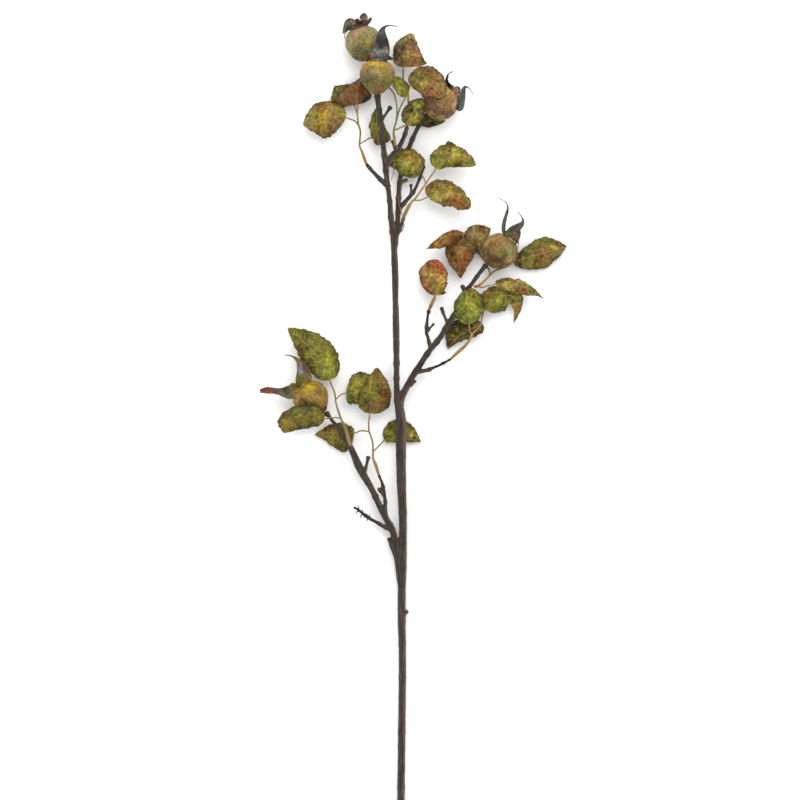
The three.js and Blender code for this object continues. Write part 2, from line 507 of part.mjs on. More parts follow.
function fromSolid(solid) {
  const mesh = solid.getMesh();
  const geometry = new THREE.BufferGeometry();
  geometry.setAttribute('position', new THREE.BufferAttribute(new Float32Array(mesh.vertProperties), 3));
  geometry.setIndex(Array.from(mesh.triVerts));
  return geometry;
}

function fuse(geometries) {
  const solids = geometries.map(toSolid);
  return fromSolid(solids.reduce((whole, solid) => whole.add(solid)));
}

// A closed tube with a ring of vertices at each row, square to the way the rows run.
function taperedTube(rows, sides) {
  const centres = rows.map(point);
  const last = centres.length - 1;
  const tangents = centres.map((centre, i) => new THREE.Vector3()
    .subVectors(centres[Math.min(i + 1, last)], centres[Math.max(i - 1, 0)])
    .normalize());
  const across = new THREE.Vector3().crossVectors(tangents[0], UP);
  if (across.lengthSq() < 0.01) {
    across.set(1, 0, 0);
  }
  across.normalize();
  const points = [];
  const turn = new THREE.Quaternion();
  centres.forEach((centre, i) => {
    if (i > 0) {
      across.applyQuaternion(turn.setFromUnitVectors(tangents[i - 1], tangents[i]));
    }
    for (let k = 0; k < sides; k++) {
      const angle = 2 * Math.PI * (k + 0.5) / sides;
      const spoke = across.clone().applyAxisAngle(tangents[i], angle);
      points.push(centre.clone().addScaledVector(spoke, rows[i][3]));
    }
  });
  const triangles = [];
  for (let i = 0; i < last; i++) {
    for (let k = 0; k < sides; k++) {
      const a = i * sides + k;
      const b = i * sides + (k + 1) % sides;
      triangles.push([a, b, b + sides], [a, b + sides, a + sides]);
    }
  }
  for (let k = 1; k < sides - 1; k++) {
    triangles.push([0, k + 1, k], [last * sides, last * sides + k, last * sides + k + 1]);
  }
  return indexedGeometry(points, triangles);
}

// Nothing is lower than the surface on which the sprig lies.
function pressToSurface(geometry) {
  const position = geometry.attributes.position;
  for (let i = 0; i < position.count; i++) {
    position.setZ(i, Math.max(0, position.getZ(i)));
  }
  return geometry;
}

// Gives an open sheet of triangles its thickness, with the same triangles on both faces.
function thicken(points, triangles, thickness) {
  const normals = points.map(() => new THREE.Vector3());
  const faceNormals = triangles.map(([a, b, c]) => new THREE.Vector3()
    .crossVectors(
      new THREE.Vector3().subVectors(points[b], points[a]),
      new THREE.Vector3().subVectors(points[c], points[a])
    ));
  triangles.forEach((triangle, i) => triangle.forEach((corner) => normals[corner].add(faceNormals[i])));
  normals.forEach((normal) => normal.normalize());
  const lean = points.map(() => 1);
  triangles.forEach((triangle, i) => {
    const face = faceNormals[i].clone().normalize();
    triangle.forEach((corner) => {
      lean[corner] = Math.min(lean[corner], Math.max(STEEPEST_LEAN, face.dot(normals[corner])));
    });
  });
  const shifted = (way) => points.map((p, i) => (
    p.clone().addScaledVector(normals[i], way * thickness / (2 * lean[i]))
  ));
  const count = points.length;
  const solid = triangles.map((triangle) => [...triangle]);
  const sides = new Map();
  triangles.forEach(([a, b, c]) => {
    solid.push([a + count, c + count, b + count]);
    [[a, b], [b, c], [c, a]].forEach(([from, to]) => {
      if (sides.has(`${to},${from}`)) {
        sides.delete(`${to},${from}`);
      } else {
        sides.set(`${from},${to}`, [from, to]);
      }
    });
  });
  sides.forEach(([from, to]) => {
    solid.push([from, from + count, to + count], [from, to + count, to]);
  });
  return indexedGeometry([...shifted(1), ...shifted(-1)], solid);
}

// The width of one half of a blade at u, from 0 at the foot to 1 at the tip. The foot is
// round, the tip is as sharp as asked, and a lobe is a corner that stands out of the margin.
function halfWidth(half, u) {
  const skewed = u ** (Math.log(0.5) / Math.log(half.peak));
  const power = THREE.MathUtils.lerp(half.blunt, half.sharp, skewed);
  const [at, height, reach] = half.lobe;
  return half.foot * (1 - u) ** 2 + BLADE_TIP * u + half.width * Math.sin(Math.PI * skewed) ** power
    + height * Math.exp(-(((u - at) / reach) ** 2));
}

// A point of a blade: out from the midrib along an arc that starts at the fold and curls,
// and lifted by the wave of the margin.
function bladePoint(blade, half, side, u, v, width) {
  const frame = blade.frame(u);
  const share = Math.min(1, width / half.width);
  const fold = half.fold * Math.sqrt(share);
  const curl = half.curl * share * v || 1e-6;
  const reach = width * v;
  const out = reach * (Math.sin(fold + curl) - Math.sin(fold)) / curl;
  const arch = reach * (Math.cos(fold) - Math.cos(fold + curl)) / curl;
  const lift = half.wave * share * v ** 2 * Math.sin(2 * Math.PI * WAVES * u + half.phase);
  return frame.centre.clone()
    .addScaledVector(frame.left, side * out)
    .addScaledVector(frame.normal, arch + lift);
}

function bladeFrame(curve, face, u) {
  const along = curve.getTangent(u);
  const left = new THREE.Vector3().crossVectors(face, along).normalize();
  return { centre: curve.getPoint(u), left, normal: new THREE.Vector3().crossVectors(along, left) };
}

// A blade is a sheet of two halves either side of a midrib. Inner rows have one vertex
// a column. A toothed margin has two, and every other one is the bottom of a notch.
function bladeGeometry({ line, face, halves, columns, rows, toothDepth, thickness }) {
  const curve = new THREE.CubicBezierCurve3(...line.map(point));
  const facing = point(face).normalize();
  const blade = { frame: (u) => bladeFrame(curve, facing, u) };
  const spread = (t) => t - BLADE_SPREAD * Math.sin(2 * Math.PI * t) / (2 * Math.PI);
  const points = [];
  const triangles = [];
  const addPoint = (p) => points.push(p) - 1;
  for (let i = 0; i <= columns; i++) {
    addPoint(blade.frame(spread(i / columns)).centre);
  }
  halves.forEach((half, index) => {
    const side = index === 0 ? 1 : -1;
    const add = (a, b, c) => triangles.push(side > 0 ? [a, b, c] : [a, c, b]);
    const plainRow = (v) => Array.from({ length: columns + 1 }, (_, i) => {
      const u = spread(i / columns);
      return addPoint(bladePoint(blade, half, side, u, v, halfWidth(half, u)));
    });
    let inner = Array.from({ length: columns + 1 }, (_, i) => i);
    const plainRows = toothDepth > 0 ? rows - 1 : rows;
    for (let row = 1; row <= plainRows; row++) {
      const outer = plainRow(row / rows);
      for (let i = 0; i < columns; i++) {
        add(inner[i], inner[i + 1], outer[i + 1]);
        add(inner[i], outer[i + 1], outer[i]);
      }
      inner = outer;
    }
    if (toothDepth > 0) {
      const margin = Array.from({ length: 2 * columns + 1 }, (_, k) => {
        const isTooth = k % 2 === 1;
        const u = spread((k + (isTooth ? TOOTH_LEAN : 0)) / (2 * columns));
        const width = halfWidth(half, u);
        const depth = isTooth ? 0 : Math.min(toothDepth, NOTCH_SHARE * width);
        return addPoint(bladePoint(blade, half, side, u, 1, width - depth));
      });
      for (let i = 0; i < columns; i++) {
        add(inner[i], margin[2 * i + 1], margin[2 * i]);
        add(inner[i], inner[i + 1], margin[2 * i + 1]);
        add(inner[i + 1], margin[2 * i + 2], margin[2 * i + 1]);
      }
    }
  });
  return thicken(points, triangles, thickness);
}

function leafletGeometry(leaflet) {
  const { tip = LEAF_SHARP, wave = WAVE_HEIGHT, phase = 0 } = leaflet;
  const half = ([width, peak, fold, curl], lobe = NO_LOBE, turn = 0) => ({
    width, peak, fold, curl, lobe, wave, phase: phase + turn, blunt: LEAF_BLUNT, sharp: tip, foot: LEAF_FOOT
  });
  return bladeGeometry({
    line: leaflet.midrib,
    face: leaflet.face,
    halves: [half(leaflet.left, leaflet.left_lobe), half(leaflet.right, leaflet.right_lobe, HALF_TURN)],
    columns: BLADE_COLUMNS,
    rows: 2,
    toothDepth: TOOTH_DEPTH,
    thickness: BLADE_THICKNESS
  });
}

function sepalGeometry({ line, face, foot, width, peak = 0.3, lobe = NO_LOBE }) {
  const half = {
    width, peak, foot, lobe, fold: SEPAL_FOLD, curl: SEPAL_CURL, wave: 0, phase: 0,
    blunt: SEPAL_BLUNT, sharp: SEPAL_SHARP
  };
  return bladeGeometry({
    line,
    face,
    halves: [half, half],
    columns: SEPAL_COLUMNS,
    rows: 1,
    toothDepth: 0,
    thickness: SEPAL_THICKNESS
  });
}

// Turns something made round +Z to a hip's axis, and moves it to the hip's centre.
function placeOnHip(geometry, hip) {
  const turn = new THREE.Quaternion().setFromUnitVectors(UP, point(hip.axis).normalize());
  return geometry.applyQuaternion(turn).translate(...hip.centre);
}

function hipGeometry(hip, radius) {
  const outline = HIP_OUTLINE.map(([across, height]) => new THREE.Vector2(across * radius, height * radius));
  const lathe = new THREE.LatheGeometry(outline, HIP_SIDES);
  return placeOnHip(lathe.rotateX(Math.PI / 2), hip);
}

// How far a hip that rests on the surface is let down, to be pressed a little flat there.
function restingDrop(hip) {
  if (!hip.rests) {
    return 0;
  }
  const geometry = hipGeometry(hip, HIP_RADIUS);
  geometry.computeBoundingBox();
  return -geometry.boundingBox.min.z - PRESSED_FLAT;
}

function restedHip(hip) {
  const geometry = hipGeometry(hip, HIP_RADIUS).translate(0, 0, restingDrop(hip));
  return fromSolid(toSolid(pressToSurface(geometry)));
}

// The disc and the sepals in one, cut clear of the hip that they stand on.
function calyxGeometry(hip, sepals) {
  const bottom = HIP_RADIUS * HIP_OUTLINE[HIP_OUTLINE.length - 1][1];
  const disc = new THREE.CylinderGeometry(CALYX_RADIUS * CALYX_TAPER, CALYX_RADIUS, CALYX_HEIGHT, CALYX_SIDES);
  disc.rotateX(Math.PI / 2).translate(0, 0, bottom + CALYX_HEIGHT / 2);
  const parts = [placeOnHip(disc, hip), ...sepals.map(sepalGeometry)].map(toSolid);
  const clearance = hipGeometry(hip, HIP_RADIUS + GAP + PRESSED_FLAT).translate(0, 0, restingDrop(hip));
  const cut = parts.reduce((whole, part) => whole.add(part)).subtract(toSolid(clearance));
  const pieces = cut.decompose().sort((a, b) => b.volume() - a.volume());
  return fromSolid(pieces[0]);
}

function woodGeometry() {
  const thick = ['main', 'left_branch', 'right_branch'];
  const branches = Object.entries(WOOD).map(([name, rows]) => {
    const sides = thick.includes(name) ? STEM_SIDES : TWIG_SIDES;
    return pressToSurface(taperedTube(rows, sides));
  });
  const thorns = THORNS.map(([foot, tip, radius]) => (
    taperedTube([[...foot, radius], [...tip, THORN_POINT]], THORN_SIDES)
  ));
  return fuse([...branches, ...thorns]);
}

const sprig = new THREE.Group();

function addPiece(name, geometry, colour, roughness) {
  const material = new THREE.MeshStandardMaterial({ color: colour, roughness, metalness: 0 });
  const piece = new THREE.Mesh(geometry, material);
  piece.name = name;
  sprig.add(piece);
}

addPiece('woody_stem', woodGeometry(), 0x3a3330, 0.8);

for (const [name, hip] of Object.entries(HIPS)) {
  addPiece(`hip_${name}`, restedHip(hip), 0x77673a, 0.5);
  addPiece(`calyx_${name}`, calyxGeometry(hip, SEPALS[name]), 0x4a4843, 0.8);
}

for (const [name, lines] of Object.entries(STALKS)) {
  addPiece(`leaf_stalk_${name}`, fuse(lines.map((rows) => taperedTube(rows, STALK_SIDES))), 0xa08050, 0.7);
}

for (const [name, leaflet] of Object.entries(LEAFLETS)) {
  addPiece(`leaflet_${name}`, leafletGeometry(leaflet), leaflet.colour, 0.75);
}

export default sprig;
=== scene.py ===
"""Rose hip sprig: the fine pieces, their finishes, the light and the camera.

The tables repeat the sprig's driving shapes: millimetres in the row frame, with
+Y to the growing tip and +Z up off the surface. Blender's lengths are metres.
"""

import math

import bpy
import numpy as np
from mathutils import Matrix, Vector, kdtree, noise


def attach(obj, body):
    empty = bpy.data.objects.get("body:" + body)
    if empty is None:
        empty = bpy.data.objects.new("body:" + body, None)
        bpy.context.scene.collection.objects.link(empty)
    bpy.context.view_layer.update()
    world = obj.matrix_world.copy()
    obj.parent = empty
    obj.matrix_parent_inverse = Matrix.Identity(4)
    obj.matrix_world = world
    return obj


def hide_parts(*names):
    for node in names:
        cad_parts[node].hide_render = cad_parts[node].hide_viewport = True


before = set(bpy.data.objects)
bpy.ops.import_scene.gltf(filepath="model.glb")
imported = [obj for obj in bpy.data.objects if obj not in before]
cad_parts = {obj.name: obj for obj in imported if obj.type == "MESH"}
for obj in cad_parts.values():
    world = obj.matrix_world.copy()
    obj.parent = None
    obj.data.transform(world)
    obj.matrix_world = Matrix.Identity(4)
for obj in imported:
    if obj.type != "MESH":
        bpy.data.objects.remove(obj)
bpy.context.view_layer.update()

MM = 0.001

# The light is bright enough to wash out the floor, so the colours reflect that much less.
UNDER_BRIGHT_LIGHT = 0.8
# The shine greys the colours, so they are this much deeper underneath.
DEEPER = 1.05

# The edges of painted spots: how soon they fade, and how ragged they are.
SPOT_FALL = 1.1
RAGGED_SIZE = 5
RAGGED_REACH = 4

# Blades: leaflets and sepals. One unit of their flat UV map is this many millimetres.
UV_UNIT = 100.0
LEAF_COLUMNS = 132
LEAF_ROWS = 11
LEAF_THICKNESS = 0.42
LEAF_FOOT = 0.7
BLADE_TIP = 0.35
BLADE_SPREAD = 0.25
LEAF_BLUNT = 0.52
LEAF_SHARP = 0.85
WAVES = 2.3
WAVE_HEIGHT = 1.0
HALF_TURN = 2.0
TOOTH_PITCH = 2.3
TOOTH_DEPTH = 1.15
TOOTH_SHARE = 0.13
TOOTH_POINT_AT = 0.72
BAY_DEPTH = 0.3
BAY_SHARE = 0.05
VEIN_SPACING = 4.4
VEIN_SLANT = 0.8
QUILT = 0.5
MIDRIB_GROOVE = 0.35
CRUMPLE = 1.5
LEAF_THINNING = 0.4
SEPAL_COLUMNS = 56
SEPAL_ROWS = 6
SEPAL_THICKNESS = 0.75
SEPAL_FOLD = 0.15
SEPAL_CURL = 0.5
SEPAL_WAVE = 0.25
SEPAL_RIB = 0.16
SEPAL_RIB_TURNS = 3.6
SEPAL_BUMPS = ((3.6, 0.45), (1.6, 0.2))
SEPAL_BLUNT = 1.2
SEPAL_SHARP = 3.0
SEPAL_THINNING = 0.35
NO_LOBE = (0, 0, 1)

# Hips and calyxes.
HIP_RADIUS = 15.0
HIP_SIDES = 160
HIP_RINGS = 112
HIP_BUMPS = ((11, 0.6), (2.7, 0.34), (1.4, 0.16))
CREASES = 9
CREASE_DEPTH = 0.4
FLUTES = 26
FLUTE_HEIGHT = 0.22
PRESSED_FLAT = 0.2
CROWN_HEIGHT = 0.96 * HIP_RADIUS
CALYX_RADIUS = 5.2
CALYX_HEIGHT = 1.6
DISC_SIDES = 40
STAMENS = 26
STAMEN_LENGTH = 2.6
STAMEN_RADII = (0.28, 0.2, 0.34)
STAMEN_FOOT = 1.2
GOLDEN_ANGLE = 2.399

# Wood and stalks. Of each pair, the first is for thick branches and the second for thin ones.
BARK_VOXEL = 0.55
BARK_RELIEF = 0.32
CUT_DEPTH = 0.2
GRAIN_STRETCH = 0.12
STEM_SIDES = 20
STALK_SIDES = 10
RIB_SIDES = 6
RIB_RADIUS = 0.42
RIB_STATIONS = [0.0, 0.06, 0.14, 0.26, 0.4, 0.55, 0.7, 0.84]
RIB_DEPTH = MIDRIB_GROOVE + 0.12
THICK_BRANCH = 2.6
KNOT_SPACING = (47.0, 13.0)
KNOT_HEIGHT = (0.25, 0.5)
KNOT_REACH = 1.7
END_HEIGHT = 0.35
END_REACH = 1.6
# A tube's rounded end: how far past it a ring stands and how wide that is, in radii.
ROUND_END = [(0.3, 0.75), (0.45, 0.35)]

# The view, in millimetres, as the photograph's: its middle and its width.
VIEW_CENTRE = (-1.7, 204.0)
VIEW_WIDTH = 680.0
SENSOR = 36.0
LENS = 300.0
FLOOR_REACH = 4000.0
FLOOR_COLOUR = (0.95, 0.95, 0.945, 1)

# In metres and watts: how far the camera sees, the lamps' width, and each lamp's place and power.
VIEW_REACH = 30.0
LAMP_SIZE = 2.2
LAMPS = [("key_light", (0.45, 1.7, 1.9), 38.0), ("fill_light", (-1.5, -0.5, 1.9), 10.0)]

# Where the seeds of the pieces' noise start. Those of the leaflets start at 0.
HIP_SEEDS = 40.0
CALYX_SEEDS = 60.0
STALK_SEEDS = 80.0


# ---------------------------------------------------------------- shapes


def table(text):
    """Names, each with its rows, from text that reads 'name: row, row; name: row'."""
    entries = []
    for entry in text.split(";"):
        name, _, rows = entry.partition(":")
        entries.append((name.strip(), [
            [float(word) if word[-1].isdigit() else word for word in row.split()] for row in rows.split(",")
        ]))
    return entries


def shapes(text, **usual):
    """Shapes by name. A shape's line is its rows of numbers, and each other row gives a value by name."""
    found = {}
    for name, rows in table(text):
        shape = {**usual, "line": [row for row in rows if isinstance(row[0], float)]}
        for key, *values in (row for row in rows if isinstance(row[0], str)):
            shape[key] = values if len(values) > 1 else values[0]
        found[name] = shape
    return found


# The wood: x, y, z and radius along each branch.
WOOD = dict(table("""
main: -1 -149 2.9 3.25, -0.5 -102 2.8 3.15, 0.2 -51 2.75 3.1, 0.4 -17 2.75 3.1, -0.3 30 3.03 3.4,
  0.4 60 4.4 3.4, 0.8 100 7.6 3.4, -0.4 134 10.2 4, -0.9 162 12 4.3, -0.8 186 13 4.3, -3.2 203 13.5 3.5,
  -4.5 213 13.6 2.6, -4.6 230 13.8 2.5, -5 263 14.2 2.9, -5.5 289 15 2.6, -5.7 306 15.3 2.9,
  -6.3 323 15.8 2.8, -7.2 340 16.2 2.6, -9.2 357 16.6 2.4, -10.6 374 17 2.2, -12.8 391 17.3 2.2,
  -14.5 407 18 2.5, -16.5 424 19 2.1, -18.2 441 20.3 2.3, -20.2 456 22 2.3, -20.7 461.7 22.6 3;
left_branch: -0.5 46 3.8 3, -1.8 56 4.4 3.2, -3.9 71 5.6 3.1, -5.9 84 6.6 2.9, -8.5 94.5 7.4 2.9,
  -13.7 103.5 8.2 2.7, -20.1 116.5 9 2.6, -25.4 128 9.5 2.6, -31.3 138 10 3.1, -36.5 147.5 10.3 3.3,
  -42.3 161 10.5 2.8, -47.5 170 10.5 2.3, -53 178.5 10.6 1.9, -59.6 187 11 1.6, -62.4 190.8 11.6 1.7,
  -64 192.8 11.9 2.1;
right_branch: -1.8 196 13 3.2, -0.2 206 13.2 3, 6.6 220 13.2 2.8, 12.2 229 13.2 2.7, 22 244 13.2 2.4,
  32.7 257.5 13.2 2.4, 39.8 269.5 13.3 2.3, 44.7 276.5 13.4 2.3, 53.9 295 13.5 2, 58.8 302 13.4 1.8,
  63.8 309 13.2 1.7, 68.8 315.4 12.7 1.8, 70.7 317.7 12.3 2.2;
second_stem: -6 332 16 2.1, -4.6 346 16 2.3, -3.5 358 14.4 2.2, -3.1 374 11.2 2.2, -1.7 391 8.4 2.1,
  1.7 406 7.6 2, 6 418 8.4 2.1, 9.8 427.5 10.6 1.9, 14.5 437 13.6 1.8, 18.6 443.2 16.2 1.8,
  20.2 445 16.9 2.1;
hip_a_stalk: -20 453 21 1.6, -20.4 461 14 1.5, -21.6 467 7.6 1.3, -24 478 6.4 1.3, -26.8 485 10.2 1.3,
  -27 488.6 12.4 1.4, -27.9 491.9 13.1 1.8;
side_branch: -14 400 17.6 2, -9.2 408.5 19 2.1, -4.8 414.5 20.5 2.2, -1.6 419.6 21.5 2, 2.2 428 22 1.8,
  4.2 434.8 22 1.7;
side_branch_peg: -4.8 414 20.5 1.3, -5.6 418.2 23.6 1.3;
side_branch_stub: -5.6 414.5 20 1.2, -8.2 423.6 20.6 1.2;
right_twig: -3 365 13.2 2, 3.5 373 14.2 1.8, 8 378 15 1.7, 11.5 383.5 15.8 1.3, 15.7 393.5 16.8 1.2,
  19.2 402 17 0.8;
right_twig_bud: 7.4 376.5 15 1, 7.6 382 17.6 1, 7.7 386.4 19 1.3;
left_twig: -11.3 383.5 17.2 2, -14.5 387 17 2, -20.2 392.7 16 1.8, -27.3 400.4 15 1.4, -29.8 403.7 14.6 1.3;
leaf_peg: -4.6 343 16.6 1.6, -1.6 349 17.8 1.6, 1.2 357.8 18.4 1.4;
top_stub: -17.8 440 20.3 1.3, -13.5 446.5 21.5 1.2, -9.8 452 22 1.5;
second_stub: -1.7 388 8.8 1.5, 4.2 391.2 8.4 1.2;
bark_nub: 5 214.5 13.4 1.3, 11.6 220 13.8 0.9;
low_right_twig: 11 227.2 13.2 1.9, 22 229.5 13.3 1.7, 25 230.7 13.3 1.4, 32.7 234 13.2 1.1, 41 238.5 13 1;
inner_twig: 24.2 246 13.2 1.6, 22.1 256.7 14.2 1.4, 20.7 261.6 14.4 1.5, 21.4 272 14.6 1.2,
  22.7 279.6 14.6 1.1;
inner_twig_stub: 21 261 14.4 1, 23.6 264.8 15.4 0.9, 27 268.6 16 1.1;
right_stub: 38.8 268.5 13.3 1.5, 35.4 276.5 14 1.2, 33.4 282.2 14.6 1.5;
end_stub: 53 293.5 13.5 1.2, 51.2 301 14.2 1.4;
thorny_twig: -7 93 7.2 2.2, -15.6 96.6 7.4 1.9, -20.9 99.8 7.5 1.3, -26.8 103 7.6 1.5, -33.2 107.6 7.4 1.2,
  -37.1 110.8 7.2 1.4, -40.8 112.9 7 0.5;
low_stub: -5.4 71 5.6 1.9, -8 77 6.2 1.3, -11.3 86.4 7 1.4;
left_stub: -32.5 141 10 1.8, -29.8 150 11 1.3, -28.6 155.6 11.6 1.7;
left_inner_twig: -14 105 8.2 2, -14.1 112 8.9 1.6, -14.4 120 9.3 1.4, -16.3 131.5 9.8 1.3,
  -19.4 139.8 10 1.1;
left_inner_stub: -14.8 120.5 9.4 1, -19.8 128.8 9.9 1.1;
left_leaf_peg: -43 161.5 11.4 1.7, -43.5 163.4 14.2 1.5, -43.75 164.7 14.9 1.4;
stem_knob: 2.6 23.5 3.4 2, 5 24.5 3.6 1.1
"""))

# Each thorn's foot, tip and radius.
THORNS = table("""
thorn: -27 103 7.6, -27.8 107 8.4, 1.1;
thorn: -28.5 104.2 7.6, -30 101 6.6, 1;
thorn: -33.6 107.8 7.5, -35.6 103.8 7.4, 1;
thorn: -33 107.4 7.5, -33.4 111.4 8, 0.9;
thorn: -37 110.6 7.2, -39.4 107.4 8, 1;
thorn: -37 110.8 7.2, -36.6 115.2 7.4, 0.9
""")

HIPS = shapes("""
a: centre -32.5 506.3 15, axis -0.3 0.93 0.1, taper 0, rests 1;
b: centre -21 477.5 24.4, axis 0.02 0.99 0.1, taper 0.4;
c: centre 32.5 456 17.2, axis 0.74 0.66 0.05, taper 0.1;
d: centre 82.6 329.8 15, axis 0.66 0.72 0.18, taper 0.15, rests 1, ribbed 1;
e: centre -76 204.6 15, axis -0.72 0.66 0.18, taper 0.35, rests 1, ribbed 1
""", rests=0, ribbed=0)

# Radius and height from the stalk to the calyx, in hip radii.
HIP_OUTLINE = [
    [0, -0.95], [0.2, -0.99], [0.55, -0.86], [0.85, -0.55], [0.99, -0.12], [0.98, 0.3], [0.82, 0.66],
    [0.55, 0.88], [0.34, 0.95], [0, 0.96]
]

# The same for the disc that the sepals stand on, in radii and heights of the calyx.
DISC_OUTLINE = [[0, -0.6], [0.7, -0.6], [1.12, -0.3], [1, 0.7], [0.8, 1], [0.55, 0.75], [0.3, 0.45], [0, 0.4]]

# The sepals of each hip: the four points that steer the midrib, the way that the face looks, the
# half width at the foot and at its widest, where that is, and a lobe's place, height and reach.
SEPALS = shapes("""
a1: -39.5 520 17, -42.5 527 18, -47 525 18.5, -50 514.5 18, face -0.3 0.4 1, foot 2.6, width 2.7, peak 0.5,
  lobe 0.86 0.9 0.2;
a2: -36 521 17, -27.5 529 18, -32.5 535 18.5, -35.3 526.5 19, face 0 -0.3 1, foot 2.4, width 1.5,
  lobe 0.82 0.9 0.2;
a3: -34.5 521 16.5, -30 522.5 16.5, -27 525 17, -26.8 528 18.5, face 0.3 0.3 1, foot 2, width 1.6,
  lobe 0.86 1.2 0.2;
a4: -38 520.5 17, -36.5 526.5 17, -40 527.5 18, -40.5 522.5 20, face 0 0.4 1, foot 2, width 1.6;
a5: -39.5 519.5 14.5, -46 521 13, -49 517 12, -48.5 510.5 12, face -0.3 0.2 1, foot 2, width 1.5;
b1: -19.5 492.5 27, -13 504 36, -25 525 34, -4.3 519.8 29.5, face 0.1 -0.1 1, foot 6.4, width 3.6;
b2: -16.5 492.5 26, -13 494.5 26, -9 492.5 25, -3 492.4 24.6, face 0 0.2 1, foot 2.2, width 1.6;
b3: -23 493 27, -26 496.5 28.5, -28 497.5 29.5, -28.5 495 29, face -0.4 0.5 0.6, foot 2.2, width 1.4;
b4: -19.5 493 23, -15 497 17, -16 494 11, -18 489 8.6, face 0 0.8 -0.3, foot 2.4, width 2;
b5: -18 493 23, -13 493 17, -12 487 11, -14 482 8, face 0.7 0.4 -0.3, foot 2.2, width 1.8;
c1: 43.8 463.4 19.4, 54 426 27, 46 488 26, 60 463 21, face 0.2 0.1 1, foot 2.6, width 2.2, peak 0.5;
c2: 42 468.5 19, 37 472 22, 36 481 22, 43.5 482 21, face -0.6 0.1 0.8, foot 2.2, width 1;
c3: 45 465 18, 49 470 18, 49 466 14, 48.4 461 12, face 0.6 0.5 0.6, foot 2.4, width 1.6;
c4: 44 465 15, 50 463 10, 47 457 4.6, 42 452 3, face 0.8 0 -0.4, foot 2, width 1.8;
c5: 43 466 15, 46 469 9, 41 465 4.6, 36 462 3, face 0.3 0.7 -0.4, foot 2, width 1.8;
d1: 91 341 19, 76 352 25, 102 369 26, 81 375 22, face -0.3 0 1, foot 1.7, width 1.1, peak 0.4;
d2: 90 342.5 20, 91 351.5 27, 111 350 27, 98 363.2 22, face 0 -0.3 1, foot 4, width 2.2, peak 0.4;
d3: 93 341.5 20, 98 350 23, 99.5 341 19, 98 332 14, face 0.7 0.2 0.7, foot 3.4, width 3.2;
d4: 93.5 340.5 16, 99 341 11, 97 337 5.6, 93 333 3, face 0.7 0.3 -0.4, foot 2, width 1.6;
d5: 92.5 341.5 16, 92 347 10, 88 345 4.6, 84 341 2.4, face 0 0.8 -0.4, foot 2, width 1.8;
e1: -87 213.5 17, -98 206 17, -106 214.5 16, -120.5 211.5 14, face 0 0.1 1, foot 5.4, width 3.4, peak 0.24,
  lobe 0.84 2.3 0.22;
e2: -85.5 215 18, -80 224 22, -85 243 22, -99.5 242 19, face 0.1 -0.1 1, foot 5, width 4.6;
e3: -88 213 15, -93 217 14, -96 218 11, -96 214 8, face -0.4 0.5 0.7, foot 2, width 1.6;
e4: -87.5 213 14, -93 212 9, -90 207 4.6, -85.5 203 3, face -0.8 0 -0.4, foot 2, width 1.8;
e5: -86.5 214.5 14, -86 220 9, -82 218 4.6, -78 213.5 3, face 0 0.8 -0.4, foot 2, width 1.8
""", peak=0.3, lobe=NO_LOBE, fold=SEPAL_FOLD, curl=SEPAL_CURL, wave=SEPAL_WAVE, blunt=SEPAL_BLUNT,
   tip=SEPAL_SHARP)

